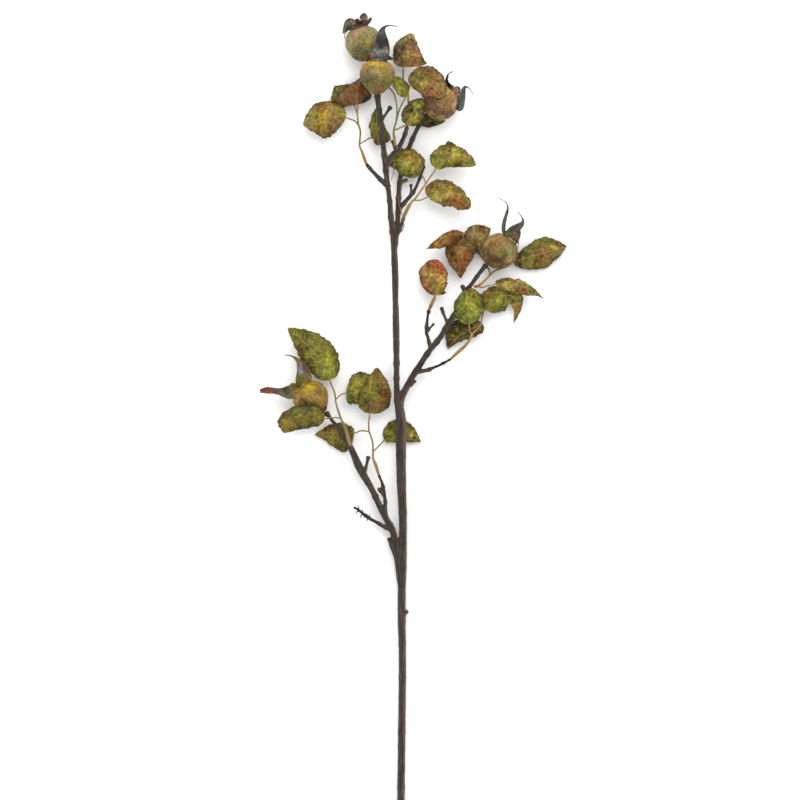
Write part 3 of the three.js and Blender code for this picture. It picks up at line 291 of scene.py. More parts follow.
# The leaf stalks: x, y, z and radius along each line. The last two of top_right are loose dry strands.
STALKS = table("""
top_left: -30.3 404.5 14.5 1.3, -32 409 14.4 1.5, -33.8 414 14.4 1.2, -36 420 14.4 0.9, -35.4 428 14.2 0.8,
  -35.5 433 14 0.8, -37 438 13.8 0.8, -37.8 446 12.6 0.7, -37.5 453.4 11.4 0.7;
top_left: -37 437 13.8 0.7, -40 440.6 13.8 0.65, -46.4 443 13.6 0.6;
top_left: -37.7 445 12.8 0.6, -39 450 9.6 0.6, -40.4 454.8 7.6 0.6;
top_left: -35.8 421 14.4 0.6, -30.5 424.4 11.4 0.6, -25.5 426.6 7.6 0.6, -21 421.6 7.8 0.6;
top_middle: -5.8 419.1 24.1 1.3, -6.4 425 24.6 1.3, -7.1 431 24.6 0.9, -6 436 24.3 0.8, -4.3 442 23.6 0.7,
  -2.6 449 22 0.7, 2.6 459.8 19 0.6;
top_middle: -7 432 24.5 0.6, -2 434.2 24.7 0.6, 2.4 436.4 25 0.6;
top_middle: -5.2 439 23.9 0.6, -4.3 447 22.6 0.6, -4.7 455 20 0.6, -7 464 16 0.6, -11.5 469.5 11 0.7,
  -14 473 8 0.8;
top_cluster: 4.35 435.4 21.9 1.3, 4.9 441 21 1.1, 5.4 448 20.2 1, 5.5 455.6 20 1, 4.8 464 20.5 0.9,
  3 471 20.8 0.8, 1 476 20.5 0.7, 1 484.8 19.6 0.7;
top_cluster: 4.9 462.5 20.5 0.6, 6.6 469.2 22.8 0.6;
top_cluster: 4.8 439 21 0.7, 8.5 439 15 0.6, 11.5 439.5 9 0.6, 13.4 439.9 7.2 0.6;
top_right: 1.4 358.3 18.4 1.4, 4.4 365.8 18.6 1.7, 8 371.6 17.6 1.1, 11.5 375 17.2 0.9, 17 382.8 17 0.8,
  20 387 17 0.8, 24 393 17 0.7, 28.1 399 17 0.7;
top_right: 9.8 373.2 17.4 0.7, 15.7 373.4 17 0.6, 20.6 375.6 17 0.6;
top_right: 20 387 17 0.7, 19 391 15 0.6, 16.7 394.6 12.8 0.6;
top_right: -3.6 377 14.4 0.3, -2.4 369.6 15.6 0.4, -0.4 363 18.6 0.4, 0.9 356.4 20.4 0.35,
  1.6 351.4 17.6 0.35, 0.4 347.6 15.4 0.35, -1.9 346.6 14.6 0.3;
top_right: -6.8 408 15.6 0.3, -7 402 15.2 0.4, -7.2 396.6 13.4 0.35, -8.6 392.4 12.4 0.3, -9 389.4 12.4 0.2;
right_lower: 41.6 239 13 1.3, 49 246 13 1.6, 54 250.5 13 1.2, 58.8 258 13.2 1, 57.4 263 14 0.7,
  56.9 267.6 14.7 0.7;
right_lower: 58.5 257 13.2 0.9, 60.4 260.8 13 0.8, 65.9 266.6 12 0.7, 67.6 272 11.5 0.7, 69.4 280 11 0.7;
right_lower: 64.8 265.6 12 0.6, 67.4 268.2 9.6 0.6;
right_inner: 22.9 280.1 14.6 1.2, 25.2 285.5 14.6 1.6, 27.8 291.2 14.7 1.3;
right_end: 61.3 300.3 13.3 1.1, 64.8 300.8 13 1.2, 70.8 306 12 0.9, 75.1 310.5 9 0.8, 79.5 314 5.4 0.8,
  86 316.4 4 0.8, 93 320.6 5.8 0.7;
right_end: 74.6 310 9.4 0.8, 74 314 6.6 0.7, 71 320.5 4.4 0.7, 65.5 328 2.8 0.7, 60 335 2.8 0.7,
  54.6 341.4 4 0.7, 51.2 345.3 7.4 0.7, 50.2 346 9.2 0.7;
right_end: 71 320.2 4.5 0.6, 69.2 323 4.8 0.6, 68 325.4 5.8 0.6;
right_end: 50.6 345.7 8.4 0.6, 52.8 345.6 11 0.6, 52.4 344.6 13.6 0.6;
right_end: 64.4 300.8 13.1 0.8, 67.5 299.4 13.6 0.7, 73 300.8 15 0.6, 78.4 302 16 0.6;
left_end: -43.95 165.5 15.1 1.4, -46 173 15.6 1.7, -48.3 181 15.6 1.3, -51.2 187 15.3 1, -54 194.5 15 0.9,
  -56 201.7 15 0.8, -57 209.5 15 0.8, -58.9 214.5 15 0.7, -61 219.8 15 0.7;
left_end: -52 188.6 15.3 0.7, -58 189 17 0.6, -64.6 188.2 18.8 0.6;
left_end: -56.3 204 15 0.6, -52.1 208.4 14.5 0.6, -48.4 209.6 14.1 0.6;
left_inner: -19.65 140.5 10 1.2, -22.2 148.6 10.2 1.5, -24.5 154.5 10.2 1, -24.6 160 10.2 0.9,
  -24.9 167.5 10.4 0.8, -26.5 173.6 10.8 0.8, -28.1 178 11.2 0.8, -28.2 185 12 0.7, -27.5 191.2 12.8 0.7;
left_inner: -27.8 177 11.1 0.7, -33.8 178 9.8 0.6, -39.3 176.2 7.2 0.6;
left_inner: -24.6 160 10.2 0.7, -20 164.6 7.6 0.6, -16 169 5.4 0.6
""")

# The leaflets: the four points that steer the midrib, then for each half its width, where it is
# widest, its fold and its curl. The number in a name counts the leaflets of its stalk.
LEAFLETS = shapes("""
top_left_1: -47.6 443.6 13.6, -57 446 17, -71 443 19, -83.5 437 14, left 18.5 0.55 -0.1 -0.5,
  right 15.5 0.5 -0.1 -0.6;
top_left_2: -37.5 454.8 11.2, -39 462 14, -38 471 14, -33.5 479 11.6, face 0.05 0.1 -1, left 12 0.3 0 0.1,
  right 20 0.12 0.05 0.35, tip 1.3, wave 0.6, finish brown;
top_left_3: -41.2 456 7, -46 461 7.4, -52 464 7.4, -57.5 471 6, face -0.1 0.1 1, left 13 0.55 -0.1 -0.3,
  right 11 0.5 0.1 0, tip 1.2, wave 0.4;
top_left_4: -20 420.4 8.7, -22 430 11, -22 441 11, -21.5 452 8, face 0.2 0 1, left 7 0.5 0.3 0.3,
  right 12 0.15 -0.1 -0.2, tip 1, wave 0.5, finish green;
top_middle_1: 3.3 461 18.6, 1 467 18, -3 473 16, -6.5 478.4 13.6, left 6.5 0.45 0.1 0.3,
  right 6 0.45 0.1 0.3, wave 0.4, finish green;
top_middle_2: 3.6 437.3 25, 7 444 25.5, 13 452 27, 18.5 459 26, left 10.5 0.45 0.25 0.6,
  right 10.5 0.4 0.2 0.5, wave 0.6, phase 1, finish green;
top_cluster_1: 1.2 486.1 19.4, 1 495 22, 4 505 22, 9 514.5 18, face -0.1 0 1, left 13.5 0.42 -0.35 -0.4,
  right 20 0.13 -0.05 -0.6, tip 0.7, finish brown;
top_cluster_2: 7 470.5 23.2, 13 475 33, 27 474 38.5, 33.5 459.5 34.5, left 15.5 0.5 -0.1 -0.5,
  right 14 0.48 -0.1 -0.6, right_lobe 0.2 2.4 0.14, tip 0.6, wave 0.7;
top_cluster_3: 14.6 440 6.6, 21 441 5, 29 441 4, 36.5 441 3, left 7 0.45 0 0, right 5 0.4 0 0.2, wave 0.4;
top_right_1: 28.9 400.2 17, 36 411 22, 50 411 23, 62.5 402.6 17, left 13.6 0.34 -0.1 -0.5,
  right 10 0.5 -0.2 -0.9, left_lobe 0.44 3.2 0.06, tip 0.8;
top_right_2: 21.9 376.2 17, 31 383 21, 48 376 22, 57.5 366.5 16, left 13.4 0.38 -0.1 -0.6,
  right 10.6 0.42 -0.1 -0.6, left_lobe 0.93 1.5 0.08, right_lobe 0.88 3 0.1, tip 0.8, phase 2;
top_right_3: 15.9 395.6 11.8, 8 404 18, -2 411 17.4, -13 405 9, left 13 0.45 -0.1 -0.3,
  right 13 0.4 -0.05 -0.35, tip 0.6, wave 0.8, phase 1;
right_lower_1: 57 268.7 15.6, 56 279 22.8, 58 290 22.8, 60 298.5 20.6, left 14 0.4 0 -0.5,
  right 14.5 0.4 -0.1 -0.7, tip 0.6, wave 0.7, finish green;
right_lower_2: 69.8 281.3 11, 80 296 15, 107 301 13, 94.8 269.5 6, left 12 0.28 -0.1 -0.7,
  right 13 0.26 -0.1 -0.6, tip 1, phase 3, finish green;
right_lower_3: 67.8 269.2 7.4, 60 264 7.2, 48 262 6.5, 39 247.5 4, left 8 0.3 0.2 0.3,
  right 13 0.6 -0.1 -0.3, wave 0.6, phase 1.5;
right_inner_1: 28.3 292.5 14.8, 28 302 19, 27 313 20, 28.5 323 16, left 15 0.55 -0.1 -0.7,
  right 13 0.5 -0.1 -0.7, right_lobe 0.02 6 0.06, tip 0.55, wave 0.8, finish brown;
right_end_1: 94.2 321.4 5.8, 105.5 325 8.2, 122 329 12, 140 334.5 6, left 14 0.64 -0.1 -0.5,
  right 13.5 0.52 -0.1 -0.7, tip 1, finish green;
right_end_2: 67.2 327.5 6.8, 65 334 8.4, 64.4 344 9.4, 64.4 352.8 8, left 12.2 0.66 0 -0.1,
  right 12.4 0.82 -0.3 -0.5, tip 0.5, wave 0.4;
right_end_3: 50 344.5 9.8, 46 341 18.5, 47 325 18, 50.3 307.3 8, left 17 0.42 0 -0.3,
  right 12 0.5 -0.1 -0.6, tip 1.1, wave 0.6, finish brown;
right_end_4: 51.8 343.8 14.4, 43 347.5 28, 33 340 24, 20.3 332 15, left 9 0.46 0 -0.5,
  right 5 0.35 -0.4 -0.7, tip 1.1, wave 0.8, phase 1, finish brown;
right_end_5: 79.4 302.1 16.2, 93 304.4 20, 111 299.6 21, 120 289.5 14, face 0 0.1 1, left 7 0.3 -0.3 -0.8,
  right 10 0.4 -0.3 -0.8, tip 1.8, wave 0.6;
left_end_1: -61.6 221 15, -66 237 20, -80 252 22, -97 265 15, left 15 0.42 -0.1 -0.6,
  right 18 0.4 -0.1 -0.6, tip 0.95, wave 1.4, finish green;
left_end_2: -65.8 188 19, -79 190.6 21.8, -91 186 18, -101.5 177 10, face 0 -0.2 1, left 9.5 0.4 -0.15 -0.4,
  right 20 0.5 0.92 -0.5, tip 0.6, wave 0.6;
left_end_3: -47.3 209.4 13.6, -39 209.6 13, -29 214 10, -18 214 7, left 17.5 0.55 -0.1 -0.5,
  right 11 0.26 -0.2 -0.5, tip 0.7, finish green;
left_inner_1: -27.3 192.7 13, -26 204 17.5, -22 217 19, -21.5 231.5 14, left 12 0.34 -0.1 -0.4,
  right 17 0.36 -0.1 -0.5, tip 0.8, wave 0.7, finish brown;
left_inner_2: -40.8 175.6 6.4, -50 177 6, -62 177 5.5, -74 174.5 3.5, left 16.5 0.28 0 -0.1,
  right 8 0.4 0 0, tip 1, wave 0.5;
left_inner_3: -15 170.2 4.9, -8 173 4.6, 5 173 4.6, 15.8 168 3, left 15.5 0.46 0 -0.1, right 4 0.4 0 0.2,
  tip 1, wave 0.4
""", face=(0, 0, 1), left_lobe=NO_LOBE, right_lobe=NO_LOBE, foot=LEAF_FOOT, blunt=LEAF_BLUNT,
   tip=LEAF_SHARP, wave=WAVE_HEIGHT, phase=0, finish="olive")

# ---------------------------------------------------------------- colours

# The colours of the dry sprig, as sRGB. The pale blue-grey one is used only for painted highlights.
PALETTE = dict(
    olive=0x6F6B30, khaki=0x7C7754, fern=0x757A32, lime=0x9FA040, pear=0x92A150, ivy=0x6C8034,
    pine=0x3A451B, swamp=0x3A3818, moss=0x585824, sage=0x868A66, stone=0x8C8570, yellow=0xC4A234,
    gold=0xB9912F, ochre=0x97802F, tan=0xAF9160, cream=0xC8B484, drab=0x86734A, sand=0x967A50,
    orange=0xBA742F, amber=0xA67C46, clay=0xB07F55, brown=0x785030, rust=0x904E28, brick=0x7C4228,
    cocoa=0x482E1E, umber=0x523C28, wine=0x82443F, crimson=0xA03E3C, fawn=0x94745E, taupe=0x80604E,
    prune=0x6A4644, plum=0x463A3C, slate=0x3D4545, lichen=0x586052, dusk=0x7F7A80, ice=0xA2ACAC,
    black=0x25211C, bark=0x423933, ash=0x6F665E, wood=0xB79D78, straw=0xC2B46C, rose=0xAA8C6E,
    rim_shadow=0x2C2616
)

# What shows on each leaflet: the colour that it has all over, then spots of other
# colours, with x, y and radius. Later spots lie over earlier ones. Some spots are painted
# light and shade: the dark ones on the left half of top_cluster_1, at the lower left of
# top_right_3 and left of the midrib of left_end_1 are painted shade, and the cream spot
# of left_inner_3 is a painted highlight.
LEAF_COLOURS = dict(table("""
top_left_1: drab, fawn -52 439 8, brown -70 453.6 4.5, olive -54 449 5, sage -77.6 439 5, fern -76 447 4,
  ochre -67 438 6, yellow -67 445.4 4.5, taupe -58 430.5 4, lime -49.6 444.6 3, rust -73 434 3,
  brown -70 453 5, drab -56 450 4, amber -66 429 3.4, taupe -59 434 4, taupe -75 452 3;
top_left_2: taupe, brown -49 458 5, brick -37 467 6, fawn -50 462 4, cocoa -40.6 451.2 3,
  black -29.8 457.7 5, pine -34 453 3;
top_left_3: moss, black -54 468 3, swamp -58 466 4, fern -59 461.9 3, black -61 458 2;
top_left_4: fern, lime -25.7 435.5 5, pear -26 440 3, taupe -20.8 426 4.5, swamp -14.2 423 4,
  olive -23 447 5, brown -16 428 3;
top_middle_1: lime, rust -9 469 4, pear -1 470 5, pine -3 477.5 2.5, taupe 4 474 3, tan -5 464 2.5,
  ivy 0 464 3;
top_middle_2: moss, ivy 12.8 454.5 4.5, lime 13 451 2.5, lime 10.5 442.6 4.5, fern 7 447 3,
  taupe 3.7 445.4 3.2, fawn 5.4 439 3, black 7.7 451.6 2, black 14.5 447 2.2, black 11 457.3 2.5,
  black 2 448 2.2, pine 9 446 1.6;
top_cluster_1: fawn, fawn 11 500 5, rose 8 512 5, stone 6.5 508.5 3, clay 12 492 4.6, stone 19 489 4,
  sage -1.4 509 4.5, lichen -4.3 501.5 5, slate 2.8 504.3 4, black 0.5 502 2.4, moss 0.3 491 4.4,
  lichen -4 496 3.4, lime 4.8 496 2.2, taupe 10 505 3, black 6 508 1.5;
top_cluster_2: drab, stone 27 487 4, brown 22 481 6, taupe 31 480 5, khaki 8 474 5.5, taupe 32 473 4,
  moss 11 466.8 5, moss 18 476 4, tan 20.7 470 3, straw 15.4 472 2, taupe 23 465.6 5, wine 25.4 461.4 7,
  swamp 6 468 2.5, umber 24 475 3;
top_cluster_3: swamp, black 25 440 6, moss 31 438 3;
top_right_1: fern, swamp 23.8 412.5 3.6, drab 35 411.7 5, lime 29.6 402.5 5, khaki 57.9 406.7 5,
  sand 53 412 4.5, lime 46.3 414 4, straw 44 411 2.5, cocoa 41.3 420.9 3, taupe 41 416 3,
  cocoa 46.3 401.5 2.6, moss 38 399.2 3, ochre 44 405.5 3.4;
top_right_2: drab, lichen 35 390 4.5, pine 30 389.5 2.5, ivy 47 385 3, brown 27 383.4 5, sand 33 385 4,
  ochre 40 381 5, brown 44 382 3, lime 29 376 4, cream 39.6 377.5 2.6, cream 31 374.5 2, rust 46.3 372 5.5,
  brick 53.8 368.4 5, wine 56.3 366.7 2.6, ivy 54.6 375.5 2.4;
top_right_3: fern, moss 2 418 3, amber 8.8 412 4, lime -4.5 405.9 4, straw 3 404.2 3, moss -5 400.5 3.4,
  fern 9.6 398 5, umber -10.3 405 3.5, drab 14.6 405 4, tan 9 398 3.4, straw 9.6 397.6 2, tan 14 405 3.4,
  amber 3 413 3;
right_lower_1: ivy, lime 57.3 285.6 6, pine 46.6 289.5 4.5, ivy 50 278.2 5, brown 63 296 5, umber 69 297 4,
  umber 56 295.6 3.4, moss 67 286 4, lime 57.3 277 2.4, pine 66 277 3, fern 51 284 4, pear 65 278 3.4;
right_lower_2: fern, rust 73.8 295 3.6, olive 72 290 3, brown 81 296 3, lime 80.4 288 3.2,
  yellow 84 290.5 2.4, ochre 75.4 279.8 4, ivy 82 280.7 4, pine 89 294 4.5, black 92.7 288.9 3,
  tan 96.5 284 3, wine 99.3 280.7 2.8, brick 95 276 4, black 94 270 3, sage 80 296.6 2, moss 88 293 3.4;
right_lower_3: swamp, black 41 267 5, black 53 266 5, lime 45.7 262.5 1.3, lime 49 259 1.2,
  ochre 44 256 1.6, black 41 251 5, tan 65 267 3, cocoa 60.6 264.2 2, umber 67 270 2.4;
right_inner_1: tan, amber 28 310 6, crimson 28 319.5 5.4, wine 22 320 4.4, crimson 34.5 316 4.6,
  sand 21.4 311.2 4, straw 25 308 3, olive 27 303 3, fern 28 300 3, rust 17 306 3.4, brick 20.3 298.5 4,
  cocoa 23.5 294.8 2.6, tan 35 306 3.6, ivy 35 297.5 3, pine 35.5 294.5 2.6;
right_end_1: olive, fern 128 331 7, sage 131 327 4, pine 101 327 6, black 99 321 4, lime 104 323 2.5,
  brown 120 329 7, lime 128 335 4, moss 120 320 4, brown 137 335 3.5, straw 129 334 3.4, sage 131 327 3.4,
  moss 105 323 3.4, umber 113 331 3, brown 121.5 327 7.5, taupe 121 330 5, olive 100 328 2.6;
right_end_2: drab, stone 59.6 344.6 5, umber 66 350 3, fawn 64.5 343 4.5, brown 63.4 334 4, olive 69 332 5,
  drab 72 346 4;
right_end_3: brown, umber 40.5 336.4 4, brick 45 334.7 4, amber 48.1 329.5 4, tan 51 332 2.6,
  umber 56.3 338 4.5, moss 58 333 3, rust 54.7 327 3.5, cocoa 43 327 3.5, drab 41.5 321.5 3, brick 49 321 4,
  taupe 46 314.5 4, brown 51 312 3, black 50 307.6 2, cocoa 42 321 3, amber 49.4 326 2;
right_end_4: brown, brick 43.2 342 6, cocoa 48.5 341 3.6, tan 33.4 341.5 3, yellow 29 335.5 2.5,
  drab 35 336 3, wine 27.4 331 2.6, moss 22 332.5 2.6, taupe 36 332 3, cocoa 31 345 2;
right_end_5: drab, umber 83.6 307 4, olive 89 308 3, straw 90 302 3, drab 84 302 3, brown 98.5 297 4,
  drab 103 301 4, brick 104 295 3, moss 110.8 297 4, lichen 118 292 4;
left_end_1: fern, olive -84.2 257 5, swamp -85.5 254 3.4, umber -87.6 246 4.5, cocoa -85 241 3.4,
  moss -80 248.9 4, olive -70 252 6, brown -67 247 3, lime -63.8 239.4 5, ivy -70 238 4, pear -65 228 5,
  black -79 233 3.2, black -74 225.4 3.4, pine -76.7 239 3, moss -57 245 3, moss -84 257 5,
  swamp -81 248 3.4, moss -70 251 4, olive -76.5 238 2.4;
left_end_2: olive, taupe -101 195.2 4.5, umber -96 200 4, ivy -91 195.4 4.5, ochre -97.8 184 5.5,
  ochre -82.1 187 4.5, moss -80.8 195 4, yellow -71 187.7 2.6, lime -86 190 2.4, black -85.5 179.5 3.6,
  black -77 181.2 3.6, pine -73 184 3, swamp -80 193.6 3.6, olive -83 187 3.4;
left_end_3: fern, lime -41 217 4, pine -44 206 4.5, lime -35.8 220 3.4, moss -35 224.5 3, ivy -38 212 3,
  yellow -36 210 2;
left_inner_1: olive, fern -28 213 6, ochre -28.5 216.5 2.6, brown -15 217 5, brown -20.5 223 3.4,
  umber -18 212 3, brick -13 208 5, umber -27 199 4, taupe -20.5 197.5 4, swamp -32 201 3.6,
  cocoa -11 200.4 3.4, black -22 229.5 2.6, olive -9 213 2, rust -15 204 2.6, cocoa -26 200 3;
left_inner_2: olive, taupe -67 175.6 4, drab -60 178 4, fern -59.6 169.5 4.5, ochre -53 174 3.6,
  pine -45 179 4.5, moss -50 163 4;
left_inner_3: olive, swamp -12 183 5, fern -12 176 4, lime -8 178 2.4, pine -14 172 3, moss 6.2 182 4,
  cream 8.5 175 2.6, umber 12 168 3.4, olive 4 173 3
"""))

# The same for each hip. The darker spots on each hip's side towards -Y, away from the key light, are partly
# painted shade.
HIP_COLOURS = dict(table("""
a: khaki, fawn -39 518.5 7, fawn -34 521 5, taupe -45 514 3.4, khaki -24 518 5, olive -33 508 6.5,
  stone -46 507 4.5, taupe -40 511 3, sand -28.2 507.3 2.4, moss -38 501 5, swamp -39 496 5,
  moss -27 502 3.6, swamp -32 498 4.5, plum -35.5 500 4.2, olive -29.4 503.5 3;
b: olive, taupe -34.5 483 4.5, umber -33 475 4, taupe -6.5 481 4.2, moss -28 480 4, swamp -27.5 474 4.6,
  olive -14 480 4, moss -15 473.5 5, moss -14 478 2.4, sand -21.3 480 3.4, brown -22 475 3,
  moss -22 471 3.4, brown -20 467 4.6, pine -25 476 2, yellow -30.5 489.4 3.8, yellow -25 489.2 4.2,
  yellow -19 489 3.4, lime -17 486 2, amber -11 487 4, orange -16 489 2.6, orange -31.5 487 2.4;
c: brown, rose 46 454 4.5, tan 37 465 4.4, amber 43.5 464.7 4, cocoa 24 455 5.4, cocoa 24 449 4.6,
  cocoa 29 448 6, umber 40 446 4, brown 38 455 4, sand 34 441.6 4, ochre 24 443 3, amber 22.6 445.4 2.6;
d: drab, tan 69 337 5, tan 71.5 342 4.5, sage 74 339 3, khaki 77.5 344.5 4, amber 81.6 340 3, sand 84 336 4,
  brown 73 332 3, brown 77.2 336.3 2.6, umber 72 327 4, cocoa 77 322 5.5, umber 84 321 4.5, olive 85 328 4,
  sage 92 330 4, tan 93 323 4, fawn 89.8 338 3.4;
e: ochre, yellow -79 216 5.5, lime -83.5 213 3.4, clay -87 206 4.2, sand -73.4 208.5 5, taupe -65.6 215 3.6,
  clay -65.2 203 4, cocoa -81 201.5 4, umber -74 200.5 4.5, umber -64.8 195 3.4, rose -66 215 3
"""))

# And for each calyx. Its pale blue-grey spots, on calyxes b and e, are painted highlights.
CALYX_COLOURS = dict(table("""
a: umber, lichen -46 520.8 5.5, stone -44 525 3, black -37.1 524 3, plum -34.5 529 3.4, cocoa -33.5 530.5 2,
  stone -31 527 2.6, stone -27.5 526.6 2.6, tan -41.5 521 1.6, tan -50 515 3;
b: slate, dusk -21 497.5 7, black -18 505 3.4, ice -24 498 3, ice -19.5 497 3.4, black -21.4 500 1.6,
  slate -21.4 495.4 1.6, fawn -26 494 3, dusk -20 491.8 2.4, black -8 493 4, black -12 508 4,
  lichen -17 515 3, black -23 507 2, dusk -20 496 4, stone -13.5 499 3, ice -20.5 498.5 2;
c: slate, lichen 55 460 6, dusk 57 466 3, lichen 52 454 4, black 42 473 6, clay 45 465 3.6;
d: lichen, umber 97 345 6, plum 99 346.5 3, tan 94.4 342 3.4, tan 96.5 337.4 3.4, cocoa 99 335 3,
  khaki 90 345 3, khaki 84 372 4, slate 103 357 4;
e: olive, gold -90.5 211.5 4, lichen -97 209 4.5, swamp -99.5 213 3, prune -110 212.5 8, brick -116 212 5,
  prune -81 231 8, dusk -86.6 230 4, ice -85.5 229 1.8, slate -96 242 5, ochre -82 221 4
"""))

# And for the leaf stalks.
STALK_COLOURS = dict(table("""
top_left: amber, olive -35 432 12;
top_middle: olive, sand -6 424 7, brown -12 471 7;
top_cluster: ochre, umber 2 478 12, amber 5 442 8;
top_right: sand, drab 10 360 9, clay 20 383 6;
right_lower: sand, tan 66 256 8;
right_inner: sand, brown 23 282 4;
right_end: clay, tan 75 302 6, rust 64 301 4;
left_end: sand, drab -50 183 12;
left_inner: sand, drab -28 176 9
"""))


# ---------------------------------------------------------------- small helpers


def unit(vectors):
    return vectors / np.maximum(np.linalg.norm(vectors, axis=-1, keepdims=True), 1e-9)


def smooth_step(low, high, values):
    share = np.clip((values - low) / (high - low), 0, 1)
    return share * share * (3 - 2 * share)


def bumps(points, size, seed=0.0):
    """Smooth noise from -1 to 1 at each point, with features of about that size."""
    flat = points.reshape(-1, 3) / size + seed * 7.31
    values = [noise.noise(Vector(p)) for p in flat]
    return np.array(values).reshape(points.shape[:-1])


def uneven(points, layers, seed):
    """The sum of layers of bumps, each with its size and its height."""
    return sum(height * bumps(points, size, seed) for size, height in layers)


def colour(name):
    """A colour of the palette, linear and with an alpha of one."""
    channels = np.array([(PALETTE[name] >> shift) & 255 for shift in (16, 8, 0)]) / 255
    linear = np.where(channels <= 0.04045, channels / 12.92, ((channels + 0.055) / 1.055) ** 2.4)
    grey = linear.mean()
    return (*(np.clip(grey + (linear - grey) * DEEPER, 0.004, 1) * UNDER_BRIGHT_LIGHT), 1.0)


def painted(points, colours, seed):
    """A colour for each point: the first one all over, then the spots, with ragged edges."""
    tints = np.tile(colour(colours[0][0]), (len(points), 1))
    ragged = np.stack([bumps(points, RAGGED_SIZE, seed + k) for k in range(2)], axis=1) * RAGGED_REACH
    spread = points[:, :2] + ragged
    for name, x, y, radius in colours[1:]:
        far = np.linalg.norm(spread - (x, y), axis=1) / radius
        tints += np.exp(-SPOT_FALL * far ** 3)[:, None] * (colour(name) - tints)
    return tints


def run_along(points):
    """How far along its line each point is."""
    steps = np.linalg.norm(np.diff(points, axis=0), axis=1)
    return np.concatenate([[0], np.cumsum(steps)])


def resampled(rows, step):
    """A smooth line through the rows, with a point about every step."""
    rows = np.array(rows, dtype=float)
    before = np.vstack([2 * rows[0] - rows[1], rows[:-1]])
    after = np.vstack([rows[1:], 2 * rows[-1] - rows[-2]])
    slopes = (after - before) / 2
    points = []
    for start, end, leave, arrive in zip(rows[:-1], rows[1:], slopes[:-1], slopes[1:]):
        count = max(1, round(np.linalg.norm(end[:3] - start[:3]) / step))
        for t in np.arange(count) / count:
            points.append(
                (2 * t**3 - 3 * t**2 + 1) * start + (t**3 - 2 * t**2 + t) * leave
                + (3 * t**2 - 2 * t**3) * end + (t**3 - t**2) * arrive
            )
    return np.array(points + [rows[-1]])


def line_frames(centres):
    """The direction at each point of a line, and two directions square to it that don't twist."""
    tangents = unit(np.gradient(centres, axis=0))
    across = np.cross(tangents[0], (0, 0, 1))
    if np.linalg.norm(across) < 0.1:
        across = np.array([1.0, 0, 0])
    firsts = []
    for tangent in tangents:
        across = unit(across - np.dot(across, tangent) * tangent)
        firsts.append(across)
    firsts = np.array(firsts)
    return tangents, firsts, np.cross(tangents, firsts)


def in_scene(name, mesh):
    piece = bpy.data.objects.new(name, mesh)
    bpy.context.scene.collection.objects.link(piece)
    return piece


def mesh_object(name, points, faces, smooth=True):
    mesh = bpy.data.meshes.new(name)
    mesh.from_pydata((points * MM).tolist(), [], faces)
    mesh.polygons.foreach_set("use_smooth", [smooth] * len(mesh.polygons))
    mesh.update()
    return in_scene(name, mesh)


def mesh_points(piece):
    """The piece's points, in millimetres."""
    points = np.zeros(len(piece.data.vertices) * 3)
    piece.data.vertices.foreach_get("co", points)
    return points.reshape(-1, 3) / MM


def move_points(piece, points):
    """Moves the piece's points, but none below the surface that the sprig lies on."""
    points[:, 2] = np.maximum(points[:, 2], 0)
    piece.data.vertices.foreach_set("co", (points * MM).ravel())
    piece.data.update()


def add_attribute(piece, name, values):
    """An attribute at the points: numbers, vectors or, with four values a point, colours."""
    kind, field = {
        1: ("FLOAT", "value"), 3: ("FLOAT_VECTOR", "vector"), 4: ("FLOAT_COLOR", "color")
    }[values.size // len(values)]
    layer = piece.data.attributes.new(name, kind, "POINT")
    layer.data.foreach_set(field, values.ravel())


def ring_faces(rings, sides):
    return [
        (i * sides + k, i * sides + (k + 1) % sides, (i + 1) * sides + (k + 1) % sides, (i + 1) * sides + k)
        for i in range(rings - 1) for k in range(sides)
    ]


def lathed(outline, sides):
    """Rings round +Z through an outline's rows of radius and height, and the angle of each point."""
    angles = np.tile(np.arange(sides) * 2 * np.pi / sides, len(outline))
    across, height = np.repeat(np.array(outline, dtype=float), sides, axis=0).T
    return np.column_stack([across * np.cos(angles), across * np.sin(angles), height]), angles


def joined(parts):
    """One object from several, with the attributes that they carry."""
    with bpy.context.temp_override(
        active_object=parts[0], object=parts[0], selected_objects=parts, selected_editable_objects=parts
    ):
        bpy.ops.object.join()
    return parts[0]


def finish_piece(piece, node, material):
    """The piece takes the node's place on the sprig."""
    piece.name = piece.data.name = "fine_" + node
    piece.data.materials.append(material)
    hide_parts(node)
    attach(piece, "root")


# ---------------------------------------------------------------- blades


def half_width(half, u):
    """The width of half a blade from its foot at 0 to its tip at 1."""
    skewed = u ** (math.log(0.5) / math.log(half["peak"]))
    power = half["blunt"] + (half["tip"] - half["blunt"]) * skewed
    at, height, reach = half["lobe"]
    return (half["foot"] * (1 - u) ** 2 + BLADE_TIP * u + half["width"] * np.sin(np.pi * skewed) ** power
            + height * np.exp(-(((u - at) / reach) ** 2)))


def blade_line(blade, u):
    """Points of a blade's midrib, and the directions to its left and out of its face."""
    p = np.array(blade["line"])
    t = u[:, None]
    k = 1 - t
    centres = k**3 * p[0] + 3 * k * k * t * p[1] + 3 * k * t * t * p[2] + t**3 * p[3]
    along = unit(k * k * (p[1] - p[0]) + 2 * k * t * (p[2] - p[1]) + t * t * (p[3] - p[2]))
    left = unit(np.cross(np.array(blade["face"], dtype=float), along))
    return centres, left, np.cross(along, left)


